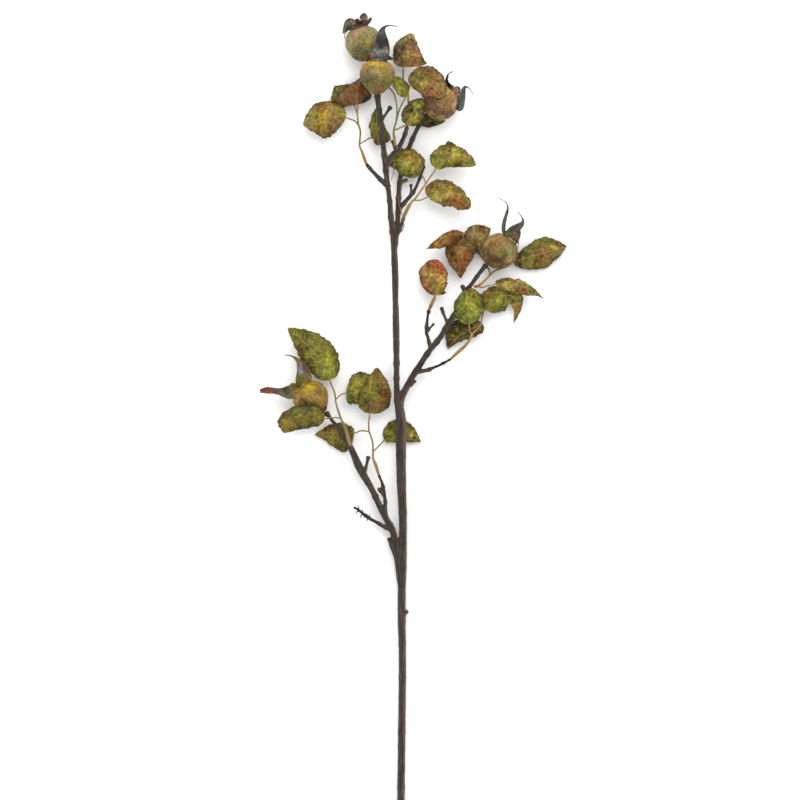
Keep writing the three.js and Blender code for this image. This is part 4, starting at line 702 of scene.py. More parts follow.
def margin_cuts(margin, width, seed):
    """How far a margin stands back at each point of it: the notches between teeth, and wider bays."""
    run = run_along(margin)
    wander = 0.35 * np.sin(0.9 * run + seed) + 0.2 * np.sin(0.37 * run + 2 * seed)
    phase = (run / TOOTH_PITCH + wander) % 1
    tooth = np.where(phase < TOOTH_POINT_AT, phase / TOOTH_POINT_AT, (1 - phase) / (1 - TOOTH_POINT_AT))
    varied = 0.8 + 0.4 * np.sin(np.floor(run / TOOTH_PITCH + wander) * 2.4 + seed)
    notches = np.minimum(TOOTH_DEPTH, TOOTH_SHARE * width) * (1 - tooth ** 0.8) * varied
    bays = np.sin(0.52 * run + 1.7 * seed) + 0.6 * np.sin(0.95 * run + 3.1 * seed)
    return notches + np.minimum(BAY_DEPTH, BAY_SHARE * width) * bays


def blade_grid(blade, halves, columns, rows, seed, toothed):
    """The points of a blade: columns along it, and rows from its left margin to its right one.

    It comes with each point's place in millimetres on the blade laid flat, and its place
    from 1 at the left margin to -1 at the right one.
    """
    t = np.linspace(0, 1, columns + 1)
    u = t - BLADE_SPREAD * np.sin(2 * np.pi * t) / (2 * np.pi)
    centres, left, normals = blade_line(blade, u)

    def bent(half, side, v, width, reach):
        share = np.minimum(1, width / half["width"])
        fold = half["fold"] * np.sqrt(share)
        curl = half["curl"] * share * v
        curl = np.where(np.abs(curl) < 1e-6, 1e-6, curl)
        out = reach * (np.sin(fold + curl) - np.sin(fold)) / curl
        arch = reach * (np.cos(fold) - np.cos(fold + curl)) / curl
        lift = half["wave"] * share * v**2 * np.sin(2 * np.pi * WAVES * u + half["phase"])
        return centres + left * (side * out)[:, None] + normals * (arch + lift)[:, None]

    places = np.linspace(1, -1, 2 * rows + 1)
    points = np.zeros((columns + 1, len(places), 3))
    flat = np.zeros((columns + 1, len(places), 2))
    flat[..., 0] = run_along(centres)[:, None]
    for side, half in zip((1, -1), halves):
        width = half_width(half, u)
        notches = 0 * u
        if toothed:
            notches = margin_cuts(bent(half, side, 1.0, width, width), width, seed + side)
        for k, place in enumerate(places):
            if side * place >= 0:
                v = abs(place)
                reach = v * width - notches * smooth_step(0.6, 1, v)
                points[:, k] = bent(half, side, v, width, reach)
                flat[:, k, 1] = side * reach
    return points, flat, np.broadcast_to(places, points.shape[:2])


def grid_normals(points):
    return unit(np.cross(np.gradient(points, axis=1), np.gradient(points, axis=0)))


def raised(points, relief):
    return points + grid_normals(points) * relief[..., None]


def leaf_relief(points, flat, places, seed):
    """Sunk veins with the blade raised between them, and the crumpling of a dry leaf."""
    along, across = flat[..., 0], np.abs(flat[..., 1])
    fade = smooth_step(0.3, 2.5, across) * (1 - smooth_step(0.86, 1, np.abs(places)))
    phase = (along - VEIN_SLANT * across) / VEIN_SPACING + 0.15 * np.sin(along * 0.5 + seed)
    quilt = QUILT * (np.abs(np.sin(np.pi * phase)) ** 0.6 - 0.6) * fade
    groove = -MIDRIB_GROOVE * np.exp(-((across / 0.8) ** 2))
    loose = smooth_step(0.05, 0.7, np.abs(places)) * smooth_step(0, 6, along)
    ridged = 0.5 - np.abs(bumps(points, 5.5, seed + 2)) * 2
    folds = CRUMPLE * (bumps(points, 9, seed) + 0.5 * bumps(points, 3.2, seed + 1) + 0.45 * ridged)
    return quilt + groove + folds * loose


def skinned_blade(points, thickness):
    """A closed blade from a sheet of points: an upper skin, a lower one, and the rim between them."""
    over = raised(points, thickness / 2)
    both = np.vstack([over.reshape(-1, 3), (2 * points - over).reshape(-1, 3)])
    index = np.arange(len(both) // 2).reshape(thickness.shape)
    under = index.size
    corners = [index[:-1, :-1], index[:-1, 1:], index[1:, 1:], index[1:, :-1]]
    upper = np.stack(corners, axis=-1).reshape(-1, 4)
    lower = upper[:, [0, 3, 2, 1]] + under
    rim = np.concatenate([index[0], index[1:, -1], index[-1, -2::-1], index[-2:0:-1, 0]])
    after = np.roll(rim, -1)
    faces = np.vstack([
        np.stack([upper, lower], axis=1).reshape(-1, 4),
        np.stack([after, rim, rim + under, after + under], axis=1)
    ])
    return mesh_object("blade", both, faces.tolist())


def add_blade_uv(piece, flat, places):
    """UV maps that hold the flat blade's place in decimetres, and how far along and over it a point is."""
    corners = np.zeros(len(piece.data.loops), dtype=np.int32)
    piece.data.loops.foreach_get("vertex_index", corners)
    shares = np.stack([flat[..., 0] / flat[..., 0].max(), (places + 1) / 2], axis=-1)
    for name, values in (("flat", flat / UV_UNIT), ("share", shares)):
        layer = piece.data.uv_layers.new(name=name)
        layer.data.foreach_set("uv", np.vstack([values.reshape(-1, 2)] * 2)[corners].ravel())


def make_leaflet(name, leaflet, seed, material):
    halves = []
    for side, turn in (("left", 0.0), ("right", HALF_TURN)):
        measures = dict(zip(("width", "peak", "fold", "curl"), leaflet[side]))
        measures.update(lobe=leaflet[side + "_lobe"], phase=leaflet["phase"] + turn)
        halves.append({**leaflet, **measures})
    points, flat, places = blade_grid(leaflet, halves, LEAF_COLUMNS, LEAF_ROWS, seed, toothed=True)
    relief = leaf_relief(points, flat, places, seed)
    points = raised(points, relief)
    piece = skinned_blade(points, LEAF_THICKNESS * (1 - LEAF_THINNING * np.abs(places) ** 3))
    add_blade_uv(piece, flat, places)
    tints = painted(points.reshape(-1, 3), LEAF_COLOURS[name], seed)
    add_attribute(piece, "raised", np.concatenate([relief.ravel(), -relief.ravel()]))
    add_attribute(piece, "tint", np.vstack([tints, tints]))
    add_attribute(piece, "underside", np.repeat([0.0, 1.0], len(tints)))
    finish_piece(piece, "leaflet_" + name, material)


# ---------------------------------------------------------------- hips and calyxes


def on_hip(hip, points):
    """Points of an upright hip, turned and moved to where the hip lies."""
    turn = Vector((0, 0, 1)).rotation_difference(Vector(hip["axis"]).normalized()).to_matrix()
    return points @ np.array(turn).T + hip["centre"]


def hip_outline(count):
    """Radius and height from the stalk to the calyx, on a smooth line, and the way along it."""
    line = resampled([[*row, 0, 0] for row in HIP_OUTLINE], step=0.01)[:, :2]
    run = run_along(line)
    at = np.linspace(0, run[-1], count)
    return np.column_stack([np.interp(at, run, line[:, 0]), np.interp(at, run, line[:, 1])]), at


def make_hip(key, hip, seed, material):
    outline, run = hip_outline(HIP_RINGS + 1)
    points, angles = lathed(outline, HIP_SIDES)
    points *= HIP_RADIUS
    ends = smooth_step(0.55, 0.98, np.abs(points[:, 2]) / HIP_RADIUS)
    # The sum turns -0.0 at the upper pole into 0.0: its points have one angle, and stay together.
    turn = np.arctan2(*(points[:, [1, 0]] + 0 * points[:, 2:]).T)
    creases = np.abs(np.sin(turn * CREASES / 2 + 1.5 * bumps(points, 9, seed))) * ends
    flutes = np.sin(turn * FLUTES + 2.2 * bumps(points, 7, seed + 1)) * (1 - ends)
    relief = uneven(points, HIP_BUMPS, seed) - CREASE_DEPTH * creases + FLUTE_HEIGHT * flutes * hip["ribbed"]
    slim = 1 - hip["taper"] * smooth_step(0, 1, -points[:, 2] / HIP_RADIUS) ** 1.5
    points[:, :2] *= slim[:, None]
    points += unit(points) * relief[:, None]
    points = on_hip(hip, points)
    if hip["rests"]:
        points[:, 2] -= points[:, 2].min() + PRESSED_FLAT
        points[:, 2] = np.maximum(points[:, 2], 0)
    piece = mesh_object("hip", points, ring_faces(HIP_RINGS + 1, HIP_SIDES))
    skin = np.column_stack([np.cos(angles), np.sin(angles), np.repeat(run, HIP_SIDES)])
    add_attribute(piece, "skin", skin * HIP_RADIUS)
    add_attribute(piece, "tint", painted(points, HIP_COLOURS[key], seed))
    finish_piece(piece, "hip_" + key, material)


def make_sepal(sepal, seed):
    halves = [{**sepal, "phase": seed}] * 2
    points, flat, places = blade_grid(sepal, halves, SEPAL_COLUMNS, SEPAL_ROWS, seed, toothed=False)
    ribs = SEPAL_RIB * np.cos(flat[..., 1] * SEPAL_RIB_TURNS) + uneven(points, SEPAL_BUMPS, seed)
    shares = flat[..., 0] / flat[..., 0].max()
    thickness = SEPAL_THICKNESS * (1 - SEPAL_THINNING * shares) * (1 - SEPAL_THINNING * places ** 2)
    piece = skinned_blade(raised(points, ribs), thickness)
    grain = np.stack([flat[..., 1], GRAIN_STRETCH * flat[..., 0], 0 * shares], axis=-1).reshape(-1, 3)
    add_attribute(piece, "grain", np.vstack([grain, grain]))
    return piece


def make_stamen(hip, k):
    """One dried stamen on the disc: a bent filament with a small head."""
    angle = k * GOLDEN_ANGLE
    out = CALYX_RADIUS * (0.35 + 0.5 * math.sqrt((k + 0.5) / STAMENS))
    foot = np.array([out * math.cos(angle), out * math.sin(angle), CROWN_HEIGHT + STAMEN_FOOT])
    lean_angle = angle + 0.6 * math.sin(k)
    lean = np.array([math.cos(lean_angle), math.sin(lean_angle), 0])
    length = STAMEN_LENGTH * (0.7 + 0.3 * math.sin(k * 1.7))
    tops = [foot, foot + [0, 0, 0.5 * length], foot + 0.5 * length * lean + [0, 0, 0.9 * length]]
    return make_tube(np.column_stack([on_hip(hip, np.array(tops)), STAMEN_RADII]), sides=5, step=0.7)


def make_disc(hip):
    """The disc of the calyx, a low crown with a sunken middle."""
    points, angles = lathed(DISC_OUTLINE, DISC_SIDES)
    across = np.hypot(points[:, 0], points[:, 1])
    wavy = 1 + 0.07 * np.sin(5 * angles) * across + 0.03 * np.sin(13 * angles)
    points *= np.column_stack([CALYX_RADIUS * wavy, CALYX_RADIUS * wavy, CALYX_HEIGHT + 0 * wavy])
    placed = on_hip(hip, points + [0, 0, CROWN_HEIGHT])
    return mesh_object("disc", placed, ring_faces(len(DISC_OUTLINE), DISC_SIDES))


def make_calyx(key, hip, seed, material):
    sepals = [sepal for name, sepal in SEPALS.items() if name[0] == key]
    parts = [make_sepal(sepal, seed + 3.7 * k) for k, sepal in enumerate(sepals)]
    piece = joined(parts + [make_disc(hip)] + [make_stamen(hip, k) for k in range(STAMENS)])
    points = mesh_points(piece)
    move_points(piece, points)
    add_attribute(piece, "tint", painted(points, CALYX_COLOURS[key], seed))
    finish_piece(piece, "calyx_" + key, material)


# ---------------------------------------------------------------- wood and stalks


def make_tube(rows, sides, step):
    """A closed tube along the rows, with rounded ends and the grain's coordinates."""
    line = rows if len(rows) > 20 else resampled(rows, step)
    centres, radii = line[:, :3], np.maximum(line[:, 3], 0.05)
    tangents, firsts, seconds = line_frames(centres)
    run = run_along(centres)
    stations = [(0, -past, share) for past, share in reversed(ROUND_END)]
    stations += [(i, 0, 1) for i in range(len(line))] + [(-1, past, share) for past, share in ROUND_END]
    angles = (np.arange(sides) + 0.5) * 2 * np.pi / sides
    circle = np.stack([np.cos(angles), np.sin(angles)], axis=1)
    points, grain = [], []
    for i, past, share in stations:
        spokes = circle @ [firsts[i], seconds[i]]
        points.append(centres[i] + tangents[i] * past * radii[i] + spokes * radii[i] * share)
        grain.append(np.column_stack([circle * radii[i], np.full(sides, GRAIN_STRETCH * run[i])]))
    count = len(stations)
    faces = ring_faces(count, sides)
    faces += [tuple(range(sides))[::-1], tuple(range((count - 1) * sides, count * sides))]
    piece = mesh_object("tube", np.vstack(points), faces)
    add_attribute(piece, "grain", np.vstack(grain))
    return piece


def knotted(rows, seed):
    """The rows of a branch with its knots: swellings where leaves and buds once stood."""
    line = resampled(rows, step=1.0)
    run = run_along(line[:, :3])
    thick = line[:, 3] > THICK_BRANCH
    spacing = np.where(thick, *KNOT_SPACING)
    phase = np.cumsum(np.concatenate([[0.37 * seed], np.diff(run) / spacing[1:]])) % 1 - 0.5
    knots = np.exp(-((phase * spacing / KNOT_REACH) ** 2))
    lift = np.where(thick, *KNOT_HEIGHT) * knots
    lift += END_HEIGHT * np.exp(-(((run[-1] - run) / END_REACH) ** 2)) * (line[-1, 3] < THICK_BRANCH)
    line[:, 3] += lift
    return line


def stem_grain(points):
    """Coordinates that run with the nearest branch: round its axis, and slowly along it."""
    axes = []
    for rows in WOOD.values():
        centres = resampled(rows, step=1.0)[:, :3]
        axes.append(np.column_stack([centres, *line_frames(centres), run_along(centres)]))
    axes = np.vstack(axes)
    tree = kdtree.KDTree(len(axes))
    for i, axis in enumerate(axes):
        tree.insert(axis[:3], i)
    tree.balance()
    nearest = axes[[tree.find(p)[1] for p in points]]
    along, first, second = (
        np.sum((points - nearest[:, :3]) * nearest[:, k:k + 3], axis=1) for k in (3, 6, 9)
    )
    return np.column_stack([first, second, GRAIN_STRETCH * (nearest[:, 12] + along)])


def make_stem(material):
    """The whole wood in one skin: its branches are fused, and the bark is raised on it."""
    rough = joined([
        make_tube(knotted(rows, seed), STEM_SIDES, step=1.0) for seed, rows in enumerate(WOOD.values())
    ])
    remesh = rough.modifiers.new("fuse", "REMESH")
    remesh.mode = "VOXEL"
    remesh.voxel_size = BARK_VOXEL * MM
    remesh.use_smooth_shade = True
    soften = rough.modifiers.new("soften", "SMOOTH")
    soften.factor = 0.5
    soften.iterations = 3
    fused = bpy.data.meshes.new_from_object(rough.evaluated_get(bpy.context.evaluated_depsgraph_get()))
    bpy.data.objects.remove(rough)
    stem = in_scene("stem", fused)

    points = mesh_points(stem)
    grain = stem_grain(points)
    normals = np.zeros(points.size)
    fused.vertices.foreach_get("normal", normals)
    ridges = 0.5 * bumps(grain, 0.55, 1) + 0.6 * bumps(grain, 1.3, 2) + 0.35 * bumps(points, 2.2, 3)
    points += normals.reshape(-1, 3) * (BARK_RELIEF * ridges)[:, None]
    move_points(stem, points)
    add_attribute(stem, "grain", grain)
    add_attribute(stem, "cut_wood", (points[:, 1] < WOOD["main"][0][1] + CUT_DEPTH).astype(float))
    thorns = [make_tube([foot + radius, tip + [0.12]], sides=8, step=0.8) for _, (foot, tip, radius) in THORNS]
    finish_piece(joined([stem, *thorns]), "woody_stem", material)


def make_rib(leaflet, stalk_end):
    """The end of a stalk runs on into a leaflet's midrib, which stands out below the blade."""
    u = np.array(RIB_STATIONS)
    centres, _, normals = blade_line(leaflet, u)
    below = centres - normals * RIB_DEPTH
    rows = np.column_stack([below, RIB_RADIUS * (1.15 - 0.85 * u)])
    return make_tube(np.vstack([stalk_end, rows]), RIB_SIDES, step=1.0)


def make_stalk(key, seed, material):
    lines = [rows for name, rows in STALKS if name == key]
    parts = [make_tube(rows, STALK_SIDES, step=0.8) for rows in lines]
    for name, leaflet in LEAFLETS.items():
        if name.rsplit("_", 1)[0] == key:
            foot = np.array(leaflet["line"][0])
            end = min((rows[-1] for rows in lines), key=lambda row: np.linalg.norm(foot - row[:3]))
            parts.append(make_rib(leaflet, end))
    piece = joined(parts)
    add_attribute(piece, "tint", painted(mesh_points(piece), STALK_COLOURS[key], seed))
    finish_piece(piece, "leaf_stalk_" + key, material)


# ---------------------------------------------------------------- finishes


class Finish:
    """A material under construction: each call adds nodes and returns an output.

    Wherever a colour is wanted, its name in the palette will do.
    """

    def __init__(self, name):
        self.material = bpy.data.materials.new(name)
        self.material.use_nodes = True
        self.tree = self.material.node_tree

    def put(self, socket, value):
        if isinstance(value, bpy.types.NodeSocket):
            self.tree.links.new(value, socket)
        else:
            socket.default_value = colour(value) if isinstance(value, str) else value

    def node(self, kind, inputs, output=0, **settings):
        """A node with these settings and inputs. Returns the output of that name or number."""
        node = self.tree.nodes.new("ShaderNode" + kind)
        for name, value in settings.items():
            setattr(node, name, value)
        for socket, value in inputs.items():
            self.put(node.inputs[socket], value)
        return node.outputs[output]

    def set(self, **values):
        for name, value in values.items():
            self.put(self.tree.nodes["Principled BSDF"].inputs[name.replace("_", " ")], value)

    def attribute(self, name, output):
        return self.node("Attribute", {}, output, attribute_name=name)

    def tint(self):
        return self.attribute("tint", "Color")

    def scaled(self, vector, scale):
        return self.node("VectorMath", {0: vector, "Scale": scale}, operation="SCALE")

    def stretched(self, vector, factors):
        return self.node("VectorMath", {0: vector, 1: factors}, operation="MULTIPLY")

    def uv(self, name, scale):
        return self.scaled(self.node("UVMap", {}, "UV", uv_map=name), scale)

    def place(self):
        """The place on the piece, in millimetres."""
        return self.scaled(self.node("TexCoord", {}, "Object"), 1 / MM)

    def axis(self, vector, k):
        return self.node("SeparateXYZ", {0: vector}, k)

    def math(self, operation, first, *others):
        for other in others or [0.0]:
            first = self.node("Math", {0: first, 1: other}, operation=operation)
        return first

    def size(self, value):
        return self.math("ABSOLUTE", value)

    def times(self, *values):
        return self.math("MULTIPLY", *values)

    def total(self, *values):
        return self.math("ADD", *values)

    def noise(self, vector, scale, detail=3.0, roughness=0.55, distortion=0.0):
        inputs = {
            "Vector": vector, "Scale": scale, "Detail": detail, "Roughness": roughness, "Distortion": distortion
        }
        return self.node("TexNoise", inputs, "Fac")

    def shaken(self, vector, scale, reach):
        """The same coordinates, pushed about so that what follows them wanders."""
        push = self.node("TexNoise", {"Vector": vector, "Scale": scale, "Detail": 2.0}, "Color")
        centred = self.node("VectorMath", {0: push, 1: (0.5, 0.5, 0.5)}, operation="SUBTRACT")
        return self.node("VectorMath", {0: vector, 1: self.scaled(centred, 2 * reach)}, operation="ADD")

    def cells(self, vector, scale, feature="DISTANCE_TO_EDGE"):
        return self.node("TexVoronoi", {"Vector": vector, "Scale": scale}, "Distance", feature=feature)

    def ramp(self, value, low, high, start=0.0, end=1.0):
        inputs = dict(enumerate((value, low, high, start, end)))
        return self.node("MapRange", inputs, interpolation_type="SMOOTHSTEP")

    def fall(self, value, low, high):
        """A ramp the other way, from one down to nothing."""
        return self.ramp(value, low, high, start=1.0, end=0.0)

    def mix(self, share, first, second, blend="MIX"):
        inputs = {0: share, 6: first, 7: second}
        return self.node("Mix", inputs, 2, data_type="RGBA", blend_type=blend, clamp_factor=True)

    def times_colour(self, tint, *channels):
        return self.mix(1.0, tint, (*channels, 1.0), "MULTIPLY")

    def shade(self, tint, value, darker, lighter, low, high):
        """A tint that runs from a darker to a lighter shade of itself as the value rises."""
        return self.mix(
            self.ramp(value, low, high), self.times_colour(tint, *darker), self.times_colour(tint, *lighter)
        )

    def over(self, base, top, value, low, high, most):
        """A colour laid on a base, from not at all to its most as the value goes from low to high."""
        return self.mix(self.ramp(value, low, high, end=most), base, top)

    def finished(self, tint, height, depth, roughness, shine):
        """The material with this colour, roughness and shine, and with relief of that depth in metres."""
        relief = self.node("Bump", {"Height": height, "Distance": depth})
        self.set(Base_Color=tint, Normal=relief, Roughness=roughness, Specular_IOR_Level=shine)
        return self.material


def leaf_finish(name, vein, patch, fleck, gloss):
    """Dry leaf: veins and a fine net over the painted colour, patches, flecks, painted shade and highlight on
    the relief, and a dark margin edged with painted shadow.
    """
    f = Finish(name)
    flat = f.uv("flat", UV_UNIT)
    place = f.shaken(flat, scale=0.25, reach=1.1)
    out = f.size(f.axis(place, 1))
    edge = f.size(f.math("SUBTRACT", f.axis(f.uv("share", 1.0), 1), 0.5))
    cloud = f.noise(flat, scale=0.13, roughness=0.6, distortion=0.8)
    blotch = f.noise(flat, scale=0.19, detail=4.0, roughness=0.62, distortion=0.6)
    grit = f.noise(flat, scale=1.0, roughness=0.7)
    fine = f.noise(flat, scale=0.46, roughness=0.65, distortion=0.3)

    tint = f.shade(f.tint(), blotch, darker=(0.6, 0.56, 0.44), lighter=(1.14, 1.1, 0.92), low=0.36, high=0.63)
    tint = f.shade(tint, fine, darker=(0.62, 0.58, 0.46), lighter=(1.3, 1.28, 1.12), low=0.38, high=0.62)
    # Painted shade and highlight: darker where the relief sinks, lighter where it rises.
    relief = f.attribute("raised", "Fac")
    tint = f.shade(tint, relief, darker=(0.6, 0.56, 0.46), lighter=(1.24, 1.25, 1.15), low=-0.7, high=0.7)
    tint = f.over(tint, f.mix(0.5, tint, patch), cloud, low=0.5, high=0.64, most=0.2)
    tint = f.over(tint, f.mix(0.3, "black", f.tint()), grit, low=0.45, high=0.33, most=0.5)

    slanted = f.math("SUBTRACT", f.axis(place, 0), f.times(out, VEIN_SLANT))
    from_vein = f.times(f.math("PINGPONG", f.math("DIVIDE", slanted, VEIN_SPACING), 0.5), VEIN_SPACING)
    seen = f.ramp(f.noise(flat, scale=0.2, detail=1.0), 0.4, 0.58)
    side_veins = f.times(f.fall(from_vein, 0.15, 0.6), seen, f.ramp(edge, 0.42, 0.26))
    midrib = f.fall(f.size(f.axis(flat, 1)), 0.2, 0.65)
    net = f.times(f.fall(f.cells(place, scale=0.5), 0.03, 0.16), f.ramp(cloud, 0.58, 0.42))
    fine_net = f.times(f.fall(f.cells(flat, scale=1.25), 0.03, 0.2), f.ramp(blotch, 0.4, 0.6))
    specks = f.times(f.fall(f.cells(flat, scale=0.42, feature="F1"), 0.1, 0.2), f.ramp(blotch, 0.45, 0.6))
    for lines, share, shown in (
        (net, 0.24, vein), (fine_net, 0.1, fleck), (side_veins, 0.38, vein), (midrib, 0.34, vein),
        (specks, 0.5, "cream")
    ):
        tint = f.mix(f.times(lines, share), tint, shown)

    # A browner band along the margin, and right at the rim a dark line that is painted shadow.
    tint = f.over(tint, "umber", f.total(edge, f.times(cloud, 0.2)), low=0.44, high=0.56, most=0.4)
    broken = f.ramp(blotch, 0.35, 0.62, start=1.0, end=0.6)
    tint = f.mix(f.times(f.ramp(edge, 0.445, 0.49, end=0.9), broken), tint, "rim_shadow")
    below = f.times(f.attribute("underside", "Fac"), 0.4)
    height = f.total(f.times(blotch, 1.3), f.times(grit, 0.4), f.times(side_veins, -0.25), f.times(net, -0.2))
    tint = f.mix(below, tint, f.times_colour(f.tint(), 0.7, 0.66, 0.55))
    roughness = f.ramp(grit, 0.3, 0.7, start=gloss, end=gloss + 0.18)
    return f.finished(tint, height, depth=0.001, roughness=roughness, shine=0.12)


def hip_finish(name, pale, deep, along, fibre_scale, net_share, net_height):
    """Dry fruit: a mottled skin with streaks along it and a net of raised lines."""
    f = Finish(name)
    skin, place, tint = f.attribute("skin", "Vector"), f.place(), f.tint()
    blotch = f.noise(place, scale=0.2, detail=4.0, roughness=0.65, distortion=0.5)
    grit = f.noise(place, scale=0.8, detail=4.0, roughness=0.75)
    stretched = f.stretched(f.shaken(skin, scale=0.14, reach=2.0), (1.0, 1.0, along))
    fibres = f.noise(stretched, fibre_scale, detail=4.0, roughness=0.7)
    wandering = f.shaken(f.stretched(skin, (1.0, 1.0, 0.75)), scale=0.5, reach=0.5)
    mesh = f.cells(wandering, scale=0.45)
    net = f.fall(mesh, 0.03, 0.27)
    lit = f.times_colour(tint, 1.5, 1.45, 1.25)
    base = f.shade(tint, blotch, darker=(0.52, 0.48, 0.4), lighter=(1.22, 1.18, 1.0), low=0.36, high=0.64)
    base = f.over(base, f.mix(0.82, pale, lit), fibres, low=0.52, high=0.61, most=0.8)
    base = f.over(base, f.mix(0.3, deep, tint), fibres, low=0.48, high=0.37, most=0.85)
    base = f.mix(f.times(net, net_share), base, f.mix(0.75, "cream", lit))
    base = f.over(base, f.mix(0.5, "pear", tint), grit, low=0.56, high=0.66, most=0.5)
    base = f.over(base, f.mix(0.3, "cocoa", tint), grit, low=0.43, high=0.34, most=0.7)
    height = f.total(f.times(fibres, 1.1), f.times(grit, 0.7), f.times(net, net_height))
    roughness = f.ramp(grit, 0.3, 0.7, start=0.4, end=0.6)
    return f.finished(base, height, depth=0.001, roughness=roughness, shine=0.14)


def calyx_finish():
    """Dry sepals: dark, with paler lengthwise ribs and a dull sheen."""
    f = Finish("dry_sepal")
    tint = f.tint()
    fibres = f.noise(f.attribute("grain", "Vector"), scale=1.5, roughness=0.6)
    blotch = f.noise(f.place(), scale=0.32, detail=4.0, roughness=0.65)
    base = f.shade(tint, blotch, darker=(0.42, 0.4, 0.38), lighter=(1.3, 1.28, 1.15), low=0.32, high=0.68)
    base = f.over(base, f.mix(0.4, "dusk", tint), fibres, low=0.53, high=0.68, most=0.5)
    base = f.over(base, "black", fibres, low=0.46, high=0.33, most=0.75)
    height = f.total(fibres, f.times(blotch, 1.2))
    roughness = f.ramp(blotch, 0.3, 0.7, start=0.42, end=0.65)
    return f.finished(base, height, depth=0.0006, roughness=roughness, shine=0.28)


def bark_finish():
    """Dark bark, greyer on its long ridges and warm between them, and paler down one side as painted light."""
    f = Finish("bark")
    grain, place = f.attribute("grain", "Vector"), f.place()
    ridges = f.noise(grain, scale=0.75, detail=5.0, roughness=0.65)
    broad = f.noise(grain, scale=0.3, detail=2.0)
    patch = f.noise(place, scale=0.05, roughness=0.6)
    flecks = f.noise(place, scale=0.7, detail=4.0, roughness=0.7)
    # Painted light and shade: the side facing +X is painted paler, the middle of the main stem darker and
    # browner, and the side facing -X slate-grey.
    facing_x = f.axis(f.node("TexCoord", {}, "Normal"), 0)
    side = f.total(facing_x, f.times(f.math("SUBTRACT", broad, 0.5), 0.7))
    trunk = f.ramp(f.size(f.axis(place, 0)), 14.0, 8.0, start=0.3, end=1.0)
    base = f.mix(f.ramp(broad, 0.35, 0.62), "black", "bark")
    base = f.over(base, "umber", patch, low=0.46, high=0.68, most=0.45)
    base = f.over(base, "ash", ridges, low=0.5, high=0.66, most=0.6)
    base = f.over(base, "black", ridges, low=0.47, high=0.37, most=0.8)
    base = f.mix(f.times(trunk, f.ramp(f.size(side), 0.5, 0.15, end=0.5)), base, "cocoa")
    base = f.mix(f.times(trunk, f.ramp(side, 0.3, 0.7, end=0.6)), base, "ash")
    base = f.over(base, "slate", side, low=-0.4, high=-0.75, most=0.4)
    base = f.over(base, "tan", flecks, low=0.6, high=0.7, most=0.3)
    rings = f.noise(f.stretched(place, (1.0, 0.1, 1.0)), scale=2.2, detail=2.0)
    base = f.mix(f.attribute("cut_wood", "Fac"), base, f.mix(rings, "wood", "amber"))
    height = f.total(f.times(ridges, 1.2), f.times(flecks, 0.5))
    roughness = f.ramp(ridges, 0.35, 0.7, start=0.55, end=0.8)
    return f.finished(base, height, depth=0.0008, roughness=roughness, shine=0.2)


def stalk_finish():
    """Leaf stalks: tan, with brown patches and fine streaks along them."""
    f = Finish("leaf_stalk")
    streaks = f.noise(f.attribute("grain", "Vector"), scale=1.2, roughness=0.6)
    patch = f.noise(f.place(), scale=0.14, roughness=0.6)
    base = f.over(f.tint(), f.mix(0.5, "brown", f.tint()), patch, low=0.44, high=0.62, most=0.55)
    base = f.over(base, "cream", streaks, low=0.52, high=0.68, most=0.45)
    base = f.over(base, "brown", streaks, low=0.47, high=0.34, most=0.7)
    roughness = f.ramp(streaks, 0.3, 0.7, start=0.45, end=0.65)
    return f.finished(base, streaks, depth=0.0005, roughness=roughness, shine=0.18)


# ---------------------------------------------------------------- the sprig


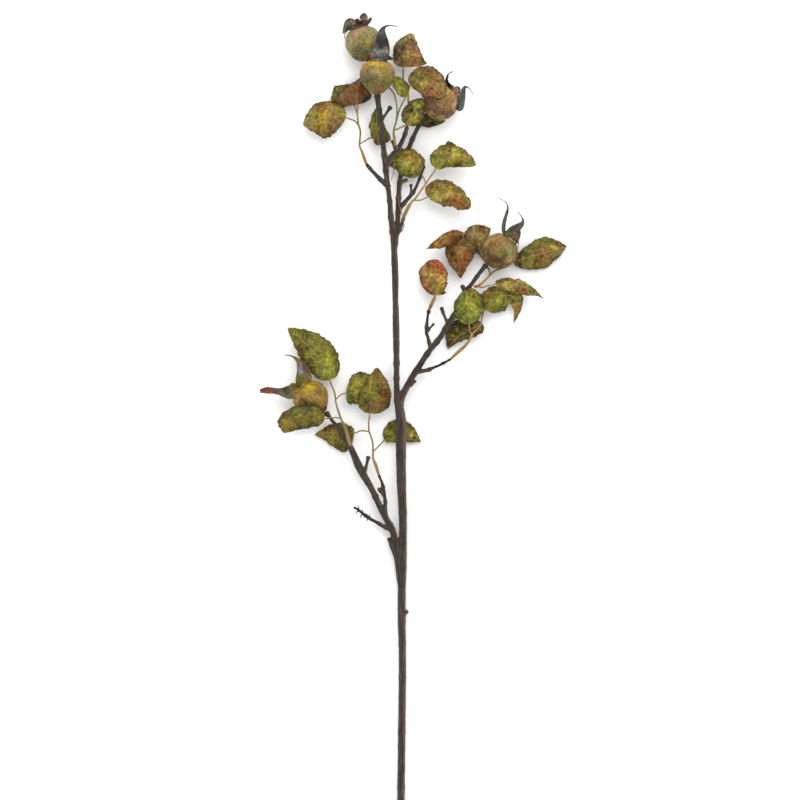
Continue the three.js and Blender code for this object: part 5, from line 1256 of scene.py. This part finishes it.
def build_sprig():
    leaf = {
        "green": leaf_finish("green_leaf", vein="straw", patch="brown", fleck="lime", gloss=0.38),
        "olive": leaf_finish("olive_leaf", vein="straw", patch="rust", fleck="lime", gloss=0.4),
        "brown": leaf_finish("brown_leaf", vein="tan", patch="umber", fleck="ochre", gloss=0.42)
    }
    for seed, (name, leaflet) in enumerate(LEAFLETS.items()):
        make_leaflet(name, leaflet, float(seed), leaf[leaflet["finish"]])
    netted = hip_finish("netted_hip", pale="cream", deep="swamp", along=0.3, fibre_scale=0.44, net_share=0.8,
                        net_height=0.2)
    ribbed = hip_finish("ribbed_hip", pale="gold", deep="cocoa", along=0.1, fibre_scale=0.6, net_share=0.15,
                        net_height=0.05)
    sepal = calyx_finish()
    for seed, (key, hip) in enumerate(HIPS.items()):
        make_hip(key, hip, HIP_SEEDS + seed, ribbed if hip["ribbed"] else netted)
        make_calyx(key, hip, CALYX_SEEDS + seed, sepal)
    stalk = stalk_finish()
    for seed, key in enumerate(STALK_COLOURS):
        make_stalk(key, STALK_SEEDS + seed, stalk)
    make_stem(bark_finish())


# ---------------------------------------------------------------- floor, light and camera


def make_floor():
    corners = FLOOR_REACH * np.array([[-1, -1, 0], [1, -1, 0], [1, 1, 0], [-1, 1, 0]])
    floor = mesh_object("floor", corners, [(0, 1, 2, 3)], smooth=False)
    f = Finish("floor")
    f.set(Base_Color=FLOOR_COLOUR, Roughness=0.9, Specular_IOR_Level=0.1)
    floor.data.materials.append(f.material)


def add_soft_light(name, place, size, power):
    light = bpy.data.lights.new(name, "AREA")
    light.shape = "DISK"
    light.size = size
    light.energy = power
    lamp = in_scene(name, light)
    lamp.location = place
    middle = Vector((0, VIEW_CENTRE[1] * MM, 0))
    lamp.rotation_euler = (middle - Vector(place)).to_track_quat("-Z", "Y").to_euler()


def light_scene():
    world = bpy.data.worlds.new("soft_white")
    world.use_nodes = True
    sky = world.node_tree.nodes["Background"].inputs
    sky["Color"].default_value = (1, 1, 1, 1)
    sky["Strength"].default_value = 1.0
    bpy.context.scene.world = world
    for name, place, power in LAMPS:
        add_soft_light(name, place, LAMP_SIZE, power)
    bpy.context.scene.view_settings.view_transform = "Standard"


def add_camera():
    camera = bpy.data.cameras.new("camera")
    camera.sensor_width = SENSOR
    camera.lens = LENS
    camera.clip_end = VIEW_REACH
    holder = in_scene("camera", camera)
    holder.location = (VIEW_CENTRE[0] * MM, VIEW_CENTRE[1] * MM, VIEW_WIDTH * MM / SENSOR * LENS)
    bpy.context.scene.camera = holder


build_sprig()
make_floor()
light_scene()
add_camera()
